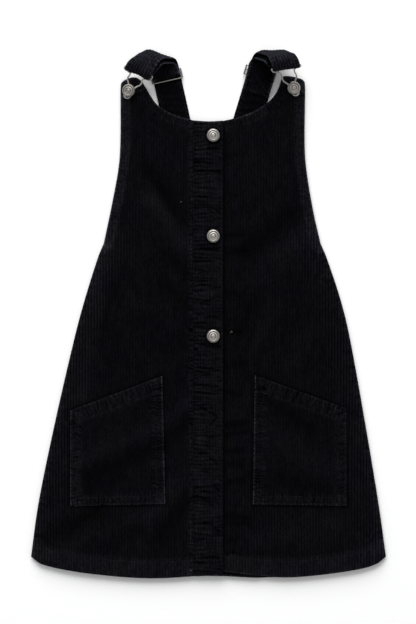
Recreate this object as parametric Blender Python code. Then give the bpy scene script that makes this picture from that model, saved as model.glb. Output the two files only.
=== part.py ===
"""A girl's pinafore dress in black corduroy, laid flat on its back.

+X is the wearer's left, +Y points to the straps and +Z out of the front. All sizes below are in
millimetres; build_mesh() turns them into metres. The back lies on z = 0, and the fronts lie over it.
"""

import math

import bmesh
import bpy
from mathutils import Matrix, Vector
from mathutils.geometry import delaunay_2d_cdt

MM = 0.001

# Cloth
CLEARANCE = 0.3  # between pieces that touch or are sewn together
POCKET_CLEARANCE = 0.6  # a pocket's flat faces cross the panel's folds, so it stands a little higher
PANEL_WALL = 2.0
PLACKET_WALL = 2.6  # folded double
POCKET_WALL = 1.8
STRAP_WALL = 2.6  # folded double
BODY_MIDDLE = 6.9  # height of the fronts' middle surface, over the back and the air inside
UNDERLAP_MIDDLE = 6.2  # the same, where the left front passes between strap ends and placket
PLACKET_MIDDLE = UNDERLAP_MIDDLE + (PANEL_WALL + PLACKET_WALL) / 2 + CLEARANCE
EDGE_ROLL = 14.0  # how far in from an edge the cloth reaches its full height
UNDERLAP_END = 24.0  # x up to which the left front lies low
UNDERLAP_RISE = 22.0  # and the distance over which it rises from there

# Grids that the panels are made on
LATTICE = 13.0
LONG_STEP = 17.0  # between outline points along hems, seams and the placket
CURVE_STEP = 7.5  # and round the neck and the bib's corners
EDGE_RINGS = (3.5, 8.5)

# Placket
PLACKET_LEFT = 18.0
PLACKET_RIGHT = -18.9
UNDERLAP_EDGE = -8.0

# Straps
STRAP_WIDTH = 35.0
STRAP_RAMP = (208.0, 224.0)  # y between which a strap comes down off the back
STRAP_LIFT = PANEL_WALL + CLEARANCE  # where a strap lies on the back
STRAP_STEPS = 3  # faces across a strap

# Metal
BUTTON_RADIUS = 8.2
SHANK_RADIUS = 2.3
BUTTON_SEGMENTS = 20
WIRE_RADIUS = 1.05
BAR_HALF = 19.0  # half of a buckle's top bar
SLIDER_HALF_WIDTH = 20.5
SLIDER_HALF_HEIGHT = 6.5
SLIDER_SIDE = 2.3
SLIDER_BAR = 2.0
SLIDER_WALL = 1.8
FOLD_RADIUS = WIRE_RADIUS + CLEARANCE + STRAP_WALL / 2
FOLD_STEPS = 6
RETURN_OFFSET = 2 * FOLD_RADIUS  # between the strap's two layers, middle to middle
HOOK_RADIUS = 2.6  # where the strap's end turns round the slider's middle bar
HOOK_SHIFT = 0.25
HOOK_STEPS = 3
CURL_STEP = 3.2  # between a strap's points where it curls
FLAT_STEP = 9.0

# Outlines. Each row is (x, y, edge): edge is the height of the cloth's middle surface at its edge.
HEM = (
    (-222.0, -304.0, 3.3),
    (-205.6, -314.4, 3.5),
    (-160.6, -323.6, 4.4),
    (-100.6, -329.8, 5.8),
    (-60.0, -330.8, 6.6),
    (-19.2, -328.4, BODY_MIDDLE),
)
HEM_UNDER = (
    (UNDERLAP_EDGE, -323.2, UNDERLAP_MIDDLE),
    (20.0, -323.2, UNDERLAP_MIDDLE),
    (50.0, -326.4, 6.2),
    (95.0, -329.9, 5.6),
    (139.4, -326.8, 4.8),
    (184.4, -320.4, 3.8),
    (209.0, -313.6, 3.4),
    (222.0, -304.0, 3.3),
)
HEM_BACK = (
    (-222.0, -304.0, 1.0),
    (-205.6, -314.4, 1.0),
    (-160.6, -323.6, 1.0),
    (-100.6, -329.8, 1.0),
    (-60.0, -330.8, 1.0),
    (-3.0, -327.8, 1.0),
    (72.0, -330.4, 1.0),
    (139.4, -326.8, 1.0),
    (184.4, -320.4, 1.0),
    (209.0, -313.6, 1.0),
    (222.0, -304.0, 1.0),
)
SEAM_RIGHT = (
    (-222.0, -304.0, 3.3),
    (-212.0, -233.0, 3.3),
    (-191.4, -133.0, 3.3),
    (-168.3, -33.0, 3.3),
    (-155.0, 17.0, 3.3),
    (-139.4, 67.0, 3.3),
    (-131.0, 88.0, 3.3),
)
SEAM_LEFT = (
    (222.0, -304.0, 3.3),
    (212.0, -233.0, 3.3),
    (195.3, -133.0, 3.3),
    (177.3, -33.0, 3.3),
    (165.3, 17.0, 3.3),
    (148.8, 67.0, 3.3),
    (140.1, 88.0, 3.3),
)
ARMHOLE_RIGHT = (
    (-131.0, 88.0, 3.3),
    (-122.3, 129.4, 3.2),
    (-113.0, 179.4, 2.4),
    (-110.3, 215.0, 2.3),
    (-110.1, 281.0, 2.3),
)
ARMHOLE_LEFT = (
    (140.1, 88.0, 3.3),
    (130.8, 129.4, 3.2),
    (122.6, 179.4, 2.4),
    (120.3, 215.0, 2.3),
    (121.0, 282.0, 2.3),
)
BIB_RIGHT = (
    (-110.1, 281.0, 2.3),
    (-108.6, 289.0, 2.3),
    (-99.5, 294.6, 2.3),
    (-90.5, 295.2, 2.3),
    (-83.5, 290.9, 2.4),
)
BIB_LEFT = (
    (121.0, 282.0, 2.3),
    (119.6, 290.6, 2.3),
    (112.0, 294.8, 2.3),
    (101.0, 297.0, 2.3),
    (92.2, 296.6, 2.4),
)
NECK_RIGHT = (
    (-83.5, 290.9, 2.4),
    (-77.8, 281.5, 3.4),
    (-64.4, 261.3, 5.0),
    (-44.0, 248.9, 6.2),
    (-19.2, 241.3, BODY_MIDDLE),
)
NECK_LEFT = (
    (92.2, 296.6, 2.4),
    (86.1, 278.8, 3.4),
    (74.0, 264.0, 5.0),
    (50.4, 249.9, 6.2),
    (18.5, 240.9, UNDERLAP_MIDDLE),
    (UNDERLAP_EDGE, 240.0, UNDERLAP_MIDDLE),
)
PLACKET_TOP = (
    (PLACKET_LEFT, 240.9, PLACKET_MIDDLE),
    (0.0, 240.0, PLACKET_MIDDLE),
    (PLACKET_RIGHT, 241.3, PLACKET_MIDDLE),
)
PLACKET_HEM = (
    (PLACKET_RIGHT, -328.4, PLACKET_MIDDLE),
    (0.0, -327.8, PLACKET_MIDDLE),
    (PLACKET_LEFT, -328.2, PLACKET_MIDDLE),
)
BACK_ARMHOLE_RIGHT = (
    (-131.0, 88.0, 1.0),
    (-104.0, 117.0, 1.0),
    (-80.0, 156.0, 1.0),
    (-60.0, 204.0, 1.0),
)
BACK_ARMHOLE_LEFT = (
    (140.1, 88.0, 1.0),
    (112.0, 117.0, 1.0),
    (87.0, 156.0, 1.0),
    (66.0, 204.0, 1.0),
)
BACK_NECK = (
    (66.0, 204.0, 1.0),
    (36.0, 201.0, 1.0),
    (3.0, 199.0, 1.0),
    (-30.0, 201.0, 1.0),
    (-60.0, 204.0, 1.0),
)
POCKET_RIGHT = ((-172.8, -121.3), (-172.8, -240.9), (-53.8, -237.9), (-57.6, -77.8))
POCKET_LEFT = ((57.8, -77.1), (55.3, -238.4), (172.3, -240.4), (172.3, -118.5))

# The largest soft folds of the fronts: a line from (x1, y1) to (x2, y2), its half width and height.
FOLDS = (
    # x1, y1, x2, y2, half width, height
    (-76.0, 180.0, -34.0, 120.0, 12.0, -1.3),
    (-73.0, 142.0, -25.0, 79.0, 12.0, 1.8),
    (-52.0, 74.0, -24.0, 48.0, 10.0, -0.9),
    (-132.0, 64.0, -158.0, -104.0, 11.0, 1.6),
    (102.0, 124.0, 46.0, 76.0, 13.0, -1.3),
    (118.0, 96.0, 60.0, 40.0, 13.0, 1.4),
    (-153.0, -207.0, -76.0, -172.0, 12.0, -1.3),
    (-160.0, -184.0, -80.0, -150.0, 11.0, 1.2),
    (-56.0, -165.0, -22.0, -134.0, 11.0, -1.2),
    (-58.0, -140.0, -24.0, -112.0, 10.0, 1.0),
    (-212.0, -286.0, -138.0, -247.0, 12.0, -1.2),
    (-60.0, -280.0, -22.0, -228.0, 12.0, -1.3),
    (-76.0, -262.0, -40.0, -214.0, 12.0, 1.0),
    (70.0, -150.0, 150.0, -196.0, 16.0, 1.1),
    (60.0, -290.0, 150.0, -262.0, 18.0, 1.2),
)

# Straps: the strap's middle at y, where its slider's row is, how far it leans outward, its length back
# to the seam and on to the buckle's bar, and where the slider's middle bar lies.
STRAPS = {
    "right": {"x": -51.7, "y": 293.4, "lean": 12.5, "back": 116.0, "bar": 95.6, "slider": 3.5},
    "left": {"x": 65.2, "y": 297.0, "lean": 16.8, "back": 121.0, "bar": 100.7, "slider": 0.5},
}

# The two bends that make a strap's curl, from the back forward: how far along the strap's middle a
# bend starts, how far its line is from square to the strap, its radius and how far it turns.
BENDS = {
    "right": (
        {"start": 19.3, "skew": 28.0, "radius": 9.2, "turn": 104.0},
        {"start": 55.0, "skew": 16.2, "radius": 12.5, "turn": 151.0},
    ),
    "left": (
        {"start": 18.6, "skew": 22.5, "radius": 11.4, "turn": 106.0},
        {"start": 67.4, "skew": 12.7, "radius": 9.1, "turn": 160.0},
    ),
}

# Where a curl's corner sags, seen from above: the soft patch's place and radius, and how far it moves.
SAGS = {
    "right": {"place": (-91.0, 326.0), "radius": 12.0, "move": (2.2, -4.6)},
    "left": {"place": (-108.0, 325.5), "radius": 12.0, "move": (0.8, -1.8)},
}

# Half of a buckle's wire: distance from the button's shank towards the bar, and half its width there.
BUCKLE_LENGTH = 32.0  # from shank to bar. The rows above the shank are fitted to each strap
BUCKLE_LIFT_START = 8.2  # the wire lies along the bib up to here, and slopes up to the bar from it
BUCKLE_WIRE = (
    # ahead, half width
    (32.0, BAR_HALF - 0.7),
    (31.0, BAR_HALF + 0.3),
    (29.3, BAR_HALF + 0.7),
    (27.2, BAR_HALF + 0.3),
    (25.8, 17.6),
    (25.3, 13.4),
    (24.0, 9.6),
    (20.8, 8.4),
    (16.5, 9.2),
    (12.6, 8.6),
    (8.8, 6.0),
    (5.6, 4.3),
    (0.0, 3.9),
    (-5.4, 3.9),
    (-8.6, 2.9),
    (-9.8, 0.0),
)
WIRE_STEP = 2.2

# A tack button's cap, from its middle outward over the top and back under to the shank.
CAP_PROFILE = (
    # radius, height above the cap's underside
    (1.6, 3.1),
    (2.3, 2.7),
    (3.4, 2.7),
    (4.2, 3.0),
    (5.4, 2.6),
    (6.6, 3.0),
    (7.6, 2.5),
    (BUTTON_RADIUS, 1.4),
    (7.6, 0.3),
    (6.2, 0.0),
    (SHANK_RADIUS, 0.0),
)
FRONT_BUTTONS = {"button_top": 222.4, "button_middle": 96.6, "button_bottom": -28.3}
FRONT_BUTTON_X = 6.0
FRONT_SHANK = 0.8
BIB_BUTTONS = {
    "right": {"x": -99.6, "y": 278.1, "tilt": -13.0, "shank": 4.8},
    "left": {"x": 106.6, "y": 281.5, "tilt": 4.0, "shank": 3.0},
}


# Materials ------------------------------------------------------------------------------------


def make_material(name, colour, roughness, metallic):
    material = bpy.data.materials.new(name)
    material.use_nodes = True
    shader = material.node_tree.nodes["Principled BSDF"]
    shader.inputs["Base Color"].default_value = (*colour, 1.0)
    shader.inputs["Roughness"].default_value = roughness
    shader.inputs["Metallic"].default_value = metallic
    return material


# Curves and heights ---------------------------------------------------------------------------


def smooth_step(t):
    t = min(max(t, 0.0), 1.0)
    return t * t * (3 - 2 * t)


def through(rows, step):
    """Points of a smooth curve through the rows, about a step apart, both ends included."""
    rows = [Vector(row) for row in rows]
    padded = [2 * rows[0] - rows[1], *rows, 2 * rows[-1] - rows[-2]]
    points = []
    for before, start, end, after in zip(padded, padded[1:], padded[2:], padded[3:]):
        count = max(1, round((end - start).length / step))
        for i in range(count):
            t = i / count
            points.append(
                0.5
                * (
                    2 * start
                    + (end - before) * t
                    + (2 * before - 5 * start + 4 * end - after) * t**2
                    + (3 * start - before - 3 * end + after) * t**3
                )
            )
    return [*points, rows[-1]]


def joined(*edges):
    """One closed outline from edges that follow one another."""
    return [point for edge in edges for point in edge[:-1]]


def nearest_edge(x, y, outline):
    """How far (x, y) is from the outline, and the height of the cloth there."""
    place = Vector((x, y))
    best = (math.inf, 0.0)
    for start, end in zip(outline, outline[1:] + outline[:1]):
        along = (end - start).xy
        t = min(max((place - start.xy).dot(along) / along.length_squared, 0), 1)
        distance = (place - start.xy - along * t).length
        best = min(best, (distance, start.z + (end.z - start.z) * t))
    return best


def is_inside(x, y, outline):
    inside = False
    for start, end in zip(outline, outline[1:] + outline[:1]):
        if (start.y > y) != (end.y > y):
            cross = start.x + (y - start.y) * (end.x - start.x) / (end.y - start.y)
            inside ^= x < cross
    return inside


def fold_height(x, y):
    total = 0.0
    for x1, y1, x2, y2, width, height in FOLDS:
        start, along = Vector((x1, y1)), Vector((x2 - x1, y2 - y1))
        t = (Vector((x, y)) - start).dot(along) / along.length_squared
        beyond = max(-t, t - 1, 0.0) * along.length
        across = abs((Vector((x, y)) - start).cross(along)) / along.length
        total += height * math.exp(-((across / width) ** 2) - (beyond / width) ** 2)
    return total


def front_middle(x, y, outline):
    """Height of a front's middle surface, which falls to its edges."""
    high = BODY_MIDDLE + fold_height(x, y)
    if outline is left_front_outline:
        rise = smooth_step((x - UNDERLAP_END) / UNDERLAP_RISE)
        high = UNDERLAP_MIDDLE + (high - UNDERLAP_MIDDLE) * rise
    distance, low = nearest_edge(x, y, outline)
    inward = 1 - min(distance / EDGE_ROLL, 1.0)
    return low + (high - low) * math.sqrt(1 - inward**2)


# Meshes ---------------------------------------------------------------------------------------


def build_mesh(name, points, faces, material, smooth=False):
    """An object from points in millimetres and faces that point outwards."""
    mesh = bpy.data.meshes.new(name)
    mesh.from_pydata([Vector(point) * MM for point in points], [], faces)
    mesh.materials.append(material)
    if smooth:
        mesh.shade_smooth()
        mesh.set_sharp_from_angle(angle=math.radians(40))
    made = bpy.data.objects.new(name, mesh)
    bpy.context.scene.collection.objects.link(made)
    return made


def inner_points(outline, rings):
    """Points inside the outline: rings along its edge, and a lattice that every panel shares."""
    found = []
    for ring in rings:
        for before, point, after in zip(outline[-1:] + outline[:-1], outline, outline[1:] + outline[:1]):
            along = (after - before).xy.normalized()
            place = point.xy + Vector((-along.y, along.x)) * ring
            if is_inside(*place, outline) and nearest_edge(*place, outline)[0] > 0.9 * ring:
                found.append(place)
    margin = (rings[-1] if rings else 0.0) + 0.4 * LATTICE
    low_x, high_x = min(p.x for p in outline), max(p.x for p in outline)
    low_y, high_y = min(p.y for p in outline), max(p.y for p in outline)
    for i in range(math.ceil(low_x / LATTICE), math.floor(high_x / LATTICE) + 1):
        for j in range(math.ceil(low_y / LATTICE), math.floor(high_y / LATTICE) + 1):
            x, y = i * LATTICE, j * LATTICE
            if is_inside(x, y, outline) and nearest_edge(x, y, outline)[0] > margin:
                found.append(Vector((x, y)))
    return found


def make_cloth(name, outline, middle, wall, material, rings=EDGE_RINGS, lattice=True):
    """A wall of cloth inside a counter-clockwise outline, about the height that middle(x, y) gives."""
    flat = [point.xy for point in outline]
    if lattice:
        flat += inner_points(outline, rings)
    border = list(range(len(outline)))
    places, _, faces, *_ = delaunay_2d_cdt(flat, [], [border], 1, 1e-4)
    heights = [middle(place.x, place.y) for place in places]
    count = len(places)
    top = [(p.x, p.y, z + wall / 2) for p, z in zip(places, heights)]
    bottom = [(p.x, p.y, z - wall / 2) for p, z in zip(places, heights)]
    sides = {}
    for face in faces:
        for a, b in zip(face, face[1:] + face[:1]):
            sides[(a, b)] = True
    rim = [(a, b) for a, b in sides if (b, a) not in sides]
    shell = [tuple(face) for face in faces]
    shell += [tuple(i + count for i in reversed(face)) for face in faces]
    shell += [(b, a, a + count, b + count) for a, b in rim]
    return build_mesh(name, top + bottom, shell, material)


def turned(name, profile, segments, place, material):
    """A round piece: the profile's (radius, height) rows from its top middle to its bottom middle."""
    points = [(0.0, 0.0, profile[0][1])]
    for radius, height in profile:
        for i in range(segments):
            angle = 2 * math.pi * i / segments
            points.append((radius * math.cos(angle), radius * math.sin(angle), height))
    points.append((0.0, 0.0, profile[-1][1]))
    last = len(points) - 1
    faces = []
    for i in range(segments):
        j = (i + 1) % segments
        faces.append((0, 1 + i, 1 + j))
        for k in range(len(profile) - 1):
            low, high = 1 + (k + 1) * segments, 1 + k * segments
            faces.append((high + i, low + i, low + j, high + j))
        faces.append((last, last - segments + j, last - segments + i))
    return build_mesh(name, [place @ Vector(p) for p in points], faces, material, smooth=True)


# The straps' shape ----------------------------------------------------------------------------


class StrapForm:
    """Where a strap's points go: s runs along it from the slider's row, t across it, offset inward.

    The strap starts as a straight flat ribbon. It is bent up and over round two lines that aren't
    square to it, so it moves sideways as it curls, like a ribbon wound on a rod. This is worked out
    for the wearer's right side, and the left one is mirrored.
    """

    def __init__(self, side):
        row = STRAPS[side]
        lean = math.radians(row["lean"])
        self.mirror = 1.0 if side == "right" else -1.0
        self.middle = Vector((self.mirror * row["x"], row["y"]))
        self.along = Vector((-math.sin(lean), math.cos(lean)))
        self.across = Vector((math.cos(lean), math.sin(lean)))
        self.bends = BENDS[side]
        self.sag = SAGS[side]
        self.back = -row["back"]
        self.bar = row["bar"]
        self.slider = row["slider"]

    def point(self, s, t, offset=0.0):
        place = Vector((s, t, offset))
        for bend in reversed(self.bends):
            place = bent(place, s, t, **bend)
        spot = self.on_floor(place)
        sag = self.sag
        away = (Vector((self.mirror * spot.x, spot.y)) - Vector(sag["place"])).length
        move = Vector(sag["move"]) * math.exp(-((away / sag["radius"]) ** 2))
        return spot + Vector((self.mirror * move.x, move.y, 0.0))

    def on_floor(self, place):
        """The point of a flat ribbon, or of a bent one, moved to where the strap lies."""
        spot = self.middle + self.along * place.x + self.across * place.y
        low, high = STRAP_RAMP
        lift = STRAP_LIFT * (1 - smooth_step((spot.y - low) / (high - low)))
        return Vector((self.mirror * spot.x, spot.y, place.z + STRAP_WALL / 2 + lift))


def bent(place, s, t, start, skew, radius, turn):
    """The place of the ribbon's point (s, t) after one bend of everything beyond its line."""
    square = Vector((math.cos(math.radians(skew)), math.sin(math.radians(skew)), 0.0))
    line = Vector((-square.y, square.x, 0.0))
    reach = (s - start) * square.x + t * square.y
    rolled = min(max(reach, 0.0), radius * math.radians(turn))
    angle = rolled / radius
    local = place - Vector((start, 0.0, 0.0))
    ahead, up = local.dot(square) - rolled, local.z
    forward = radius * math.sin(angle) + ahead * math.cos(angle) - up * math.sin(angle)
    height = radius * (1 - math.cos(angle)) + ahead * math.sin(angle) + up * math.cos(angle)
    return Vector((start, 0.0, height)) + square * forward + line * local.dot(line)


def strap_path(form):
    """The middle line of a strap as rows of (s, offset, heading): up, round the bar and back down."""
    rows = [(s, 0.0, 0.0) for s in spaced(form.back, 0.0, FLAT_STEP)]
    rows += [(s, 0.0, 0.0) for s in spaced(0.0, form.bar, CURL_STEP)]
    for i in range(FOLD_STEPS):
        turn = math.pi * i / FOLD_STEPS
        rows.append(
            (form.bar + FOLD_RADIUS * math.sin(turn), FOLD_RADIUS * (1 - math.cos(turn)), turn)
        )
    hook = form.slider - HOOK_SHIFT
    rows += [(s, RETURN_OFFSET, math.pi) for s in spaced(form.bar, hook, CURL_STEP)]
    rows.append((hook, RETURN_OFFSET, math.pi))
    for i in range(1, HOOK_STEPS + 1):
        turn = math.pi / 2 * i / HOOK_STEPS
        rows.append(
            (
                hook - HOOK_RADIUS * math.sin(turn),
                RETURN_OFFSET - HOOK_RADIUS * (1 - math.cos(turn)),
                math.pi + turn,
            )
        )
    rows.append((hook - HOOK_RADIUS, STRAP_WALL / 2 + CLEARANCE, math.pi * 1.5))
    return rows


def spaced(start, end, step):
    """Numbers from start up to, but not including, end, about a step apart."""
    count = max(1, round(abs(end - start) / step))
    return [start + (end - start) * i / count for i in range(count)]


def make_strap(side, material):
    form = StrapForm(side)
    near, far = [], []
    for s, offset, heading in strap_path(form):
        normal = (-math.sin(heading) * STRAP_WALL / 2, math.cos(heading) * STRAP_WALL / 2)
        near.append((s + normal[0], offset + normal[1]))
        far.append((s - normal[0], offset - normal[1]))
    ring = near + far[::-1]
    size, last = len(ring), len(near) - 1
    points, faces = [], []
    for row in range(STRAP_STEPS + 1):
        t = STRAP_WIDTH * (row / STRAP_STEPS - 0.5)
        points += [form.point(s, t, offset) for s, offset in ring]
    for row in range(STRAP_STEPS):
        for i in range(size):
            j = (i + 1) % size
            base = row * size
            faces.append((base + i, base + j, base + size + j, base + size + i))
    for row in (0, STRAP_STEPS):
        base = row * size
        for i in range(last):
            faces.append((base + i, base + i + 1, base + size - 2 - i, base + size - 1 - i))
    made = build_mesh("strap_" + side, points, faces, material)
    face_outward(made)
    return made


def face_outward(made):
    mesh = bmesh.new()
    mesh.from_mesh(made.data)
    bmesh.ops.recalc_face_normals(mesh, faces=mesh.faces)
    mesh.to_mesh(made.data)
    mesh.free()


# Metal ----------------------------------------------------------------------------------------


def make_slider(side, material):
    """A flat slide of three bars round two windows, on the strap's upper face."""
    form = StrapForm(side)
    across = (
        -SLIDER_HALF_WIDTH,
        SLIDER_SIDE - SLIDER_HALF_WIDTH,
        SLIDER_HALF_WIDTH - SLIDER_SIDE,
        SLIDER_HALF_WIDTH,
    )
    along = (
        -SLIDER_HALF_HEIGHT,
        SLIDER_BAR - SLIDER_HALF_HEIGHT,
        -SLIDER_BAR / 2,
        SLIDER_BAR / 2,
        SLIDER_HALF_HEIGHT - SLIDER_BAR,
        SLIDER_HALF_HEIGHT,
    )
    low = STRAP_WALL / 2 + CLEARANCE
    plate = bmesh.new()
    rows = []
    for s in along:
        places = [form.on_floor(Vector((form.slider + s, t, low))) for t in across]
        rows.append([plate.verts.new(place * MM) for place in places])
    for i in range(len(along) - 1):
        for j in range(len(across) - 1):
            if not (i in (1, 3) and j == 1):
                plate.faces.new((rows[i][j], rows[i][j + 1], rows[i + 1][j + 1], rows[i + 1][j]))
    raised = bmesh.ops.extrude_face_region(plate, geom=plate.faces[:])
    top = [item for item in raised["geom"] if isinstance(item, bmesh.types.BMVert)]
    bmesh.ops.translate(plate, verts=top, vec=(0.0, 0.0, SLIDER_WALL * MM))
    bmesh.ops.recalc_face_normals(plate, faces=plate.faces)
    mesh = bpy.data.meshes.new("slider_" + side)
    plate.to_mesh(mesh)
    plate.free()
    mesh.materials.append(material)
    made = bpy.data.objects.new("slider_" + side, mesh)
    bpy.context.scene.collection.objects.link(made)
    bevel = made.modifiers.new("rounded edges", "BEVEL")
    bevel.width = 0.4 * MM
    bevel.segments = 1
    return made


def buckle_line(side, shank):
    """The closed line of a buckle's wire, from the bar's one end round the button and back."""
    form = StrapForm(side)
    bar = [form.point(form.bar, t, FOLD_RADIUS) for t in (-BAR_HALF, BAR_HALF)]
    middle = (bar[0] + bar[1]) / 2
    ahead = ((middle - shank) * Vector((1, 1, 0))).normalized()
    level = Vector((ahead.y, -ahead.x, 0.0))
    if level.dot(bar[1] - bar[0]) < 0:
        level = -level
    foot = shank + ahead * BUCKLE_LIFT_START

    def on_wire(v, w):
        rise = max(0.0, v - BUCKLE_LIFT_START) / (BUCKLE_LENGTH - BUCKLE_LIFT_START)
        aside = level.lerp((bar[1] - bar[0]).normalized(), rise)
        spine = shank + ahead * v if rise == 0.0 else foot.lerp(middle, rise)
        return spine + aside * w

    one = [on_wire(v, -w) for v, w in BUCKLE_WIRE]
    other = [on_wire(v, w) for v, w in reversed(BUCKLE_WIRE[:-1])]
    return one + other


def make_wire(name, line, material):
    """A bent wire through the line's points, closed on itself. Its corners are rounded."""
    count = len(line)
    points = []
    for i in range(count):
        before, start, end, after = (line[(i + k) % count] for k in (-1, 0, 1, 2))
        steps = max(1, round((end - start).length / WIRE_STEP))
        for k in range(steps):
            t = k / steps
            if i == count - 1:  # the bar is straight
                points.append(start.lerp(end, t))
                continue
            points.append(
                0.5
                * (
                    2 * start
                    + (end - before) * t
                    + (2 * before - 5 * start + 4 * end - after) * t**2
                    + (3 * start - before - 3 * end + after) * t**3
                )
            )
    curve = bpy.data.curves.new(name, "CURVE")
    curve.dimensions = "3D"
    curve.bevel_depth = WIRE_RADIUS * MM
    curve.bevel_resolution = 1
    spline = curve.splines.new("POLY")
    spline.points.add(len(points) - 1)
    for spot, place in zip(spline.points, points):
        spot.co = (*(place * MM), 1.0)
    spline.use_cyclic_u = True
    curve.materials.append(material)
    made = bpy.data.objects.new(name, curve)
    bpy.context.scene.collection.objects.link(made)
    return made


def make_button(name, foot, shank, tilt, material):
    """A tack button whose shank stands on foot, leaning by tilt towards +X."""
    lean = math.radians(tilt)
    profile = [*CAP_PROFILE, (SHANK_RADIUS, SHANK_RADIUS * abs(math.tan(lean)) - shank)]
    place = Matrix.Translation(foot) @ Matrix.Rotation(lean, 4, "Y") @ Matrix.Translation((0, 0, shank))
    return turned(name, profile, BUTTON_SEGMENTS, place, material)


# The dress ------------------------------------------------------------------------------------


for old in list(bpy.data.objects):
    bpy.data.objects.remove(old, do_unlink=True)

corduroy = make_material("corduroy, cotton, black", (0.006, 0.006, 0.009), 0.95, 0.0)
nickel = make_material("steel, antique nickel plated", (0.45, 0.43, 0.41), 0.35, 1.0)


def outline_of(*edges):
    """A closed outline through edges that follow one another."""
    curved = (NECK_RIGHT[::-1], NECK_LEFT, BIB_RIGHT[::-1], BIB_LEFT)
    return joined(*(through(edge, CURVE_STEP if edge in curved else LONG_STEP) for edge in edges))


right_front_outline = outline_of(
    HEM,
    ((-19.2, -328.4, BODY_MIDDLE), (-19.2, 241.3, BODY_MIDDLE)),
    NECK_RIGHT[::-1],
    BIB_RIGHT[::-1],
    ARMHOLE_RIGHT[::-1],
    SEAM_RIGHT[::-1],
)
left_front_outline = outline_of(
    HEM_UNDER,
    SEAM_LEFT,
    ARMHOLE_LEFT,
    BIB_LEFT,
    NECK_LEFT,
    ((UNDERLAP_EDGE, 240.0, UNDERLAP_MIDDLE), (UNDERLAP_EDGE, -323.2, UNDERLAP_MIDDLE)),
)
back_outline = outline_of(
    HEM_BACK,
    SEAM_LEFT,
    BACK_ARMHOLE_LEFT,
    BACK_NECK,
    BACK_ARMHOLE_RIGHT[::-1],
    SEAM_RIGHT[::-1],
)
placket_outline = outline_of(
    PLACKET_HEM,
    (PLACKET_HEM[-1], PLACKET_TOP[0]),
    PLACKET_TOP,
    (PLACKET_TOP[-1], PLACKET_HEM[0]),
)


def right_middle(x, y):
    return front_middle(x, y, right_front_outline)


def left_middle(x, y):
    return front_middle(x, y, left_front_outline)


def back_middle(x, y):
    return PANEL_WALL / 2


def placket_middle(x, y):
    return PLACKET_MIDDLE


make_cloth("back_panel", back_outline, back_middle, PANEL_WALL, corduroy, lattice=False)
make_cloth("front_panel_right", right_front_outline, right_middle, PANEL_WALL, corduroy)
make_cloth("front_panel_left", left_front_outline, left_middle, PANEL_WALL, corduroy)
make_cloth("placket", placket_outline, placket_middle, PLACKET_WALL, corduroy, lattice=False)
for side, corners, panel_middle in (
    ("right", POCKET_RIGHT, right_middle),
    ("left", POCKET_LEFT, left_middle),
):
    edges = [
        ((*start, 0.0), (*end, 0.0)) for start, end in zip(corners, corners[1:] + corners[:1])
    ]
    raised = (PANEL_WALL + POCKET_WALL) / 2 + POCKET_CLEARANCE
    make_cloth(
        "pocket_" + side,
        outline_of(*edges),
        lambda x, y: panel_middle(x, y) + raised,
        POCKET_WALL,
        corduroy,
        rings=(),
    )
    make_strap(side, corduroy)
    make_slider(side, nickel)
    button = BIB_BUTTONS[side]
    foot_x = button["x"] - button["shank"] * math.sin(math.radians(button["tilt"]))
    surface = panel_middle(foot_x, button["y"]) + PANEL_WALL / 2
    foot = Vector((foot_x, button["y"], surface + CLEARANCE))
    make_button("bib_button_" + side, foot, button["shank"], button["tilt"], nickel)
    shank = foot + Vector((0, 0, WIRE_RADIUS))
    make_wire("buckle_" + side, buckle_line(side, shank), nickel)
for name, y in FRONT_BUTTONS.items():
    foot = Vector((FRONT_BUTTON_X, y, PLACKET_MIDDLE + PLACKET_WALL / 2 + CLEARANCE))
    make_button(name, foot, FRONT_SHANK, 0.0, nickel)
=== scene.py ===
import math

import bpy
import numpy as np
from mathutils import Matrix, Vector
from mathutils.geometry import delaunay_2d_cdt


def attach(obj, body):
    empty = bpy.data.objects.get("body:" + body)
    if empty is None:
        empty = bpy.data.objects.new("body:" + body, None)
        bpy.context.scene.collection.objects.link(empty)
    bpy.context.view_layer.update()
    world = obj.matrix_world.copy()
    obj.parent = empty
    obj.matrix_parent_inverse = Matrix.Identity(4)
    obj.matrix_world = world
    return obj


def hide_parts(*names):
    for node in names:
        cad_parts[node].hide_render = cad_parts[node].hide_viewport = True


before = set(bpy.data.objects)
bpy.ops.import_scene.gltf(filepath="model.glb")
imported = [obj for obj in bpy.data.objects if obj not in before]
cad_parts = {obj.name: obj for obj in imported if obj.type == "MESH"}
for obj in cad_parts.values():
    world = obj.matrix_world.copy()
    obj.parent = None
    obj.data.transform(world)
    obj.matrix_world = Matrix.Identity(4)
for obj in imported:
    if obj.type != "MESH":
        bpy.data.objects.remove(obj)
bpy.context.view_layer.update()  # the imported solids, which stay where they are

# A girl's pinafore dress in black corduroy, lying flat on its back on a sheet of white paper.
# All tables are in millimetres: +x is the wearer's left, +y points to the straps, +z up.
mm = 0.001

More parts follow.
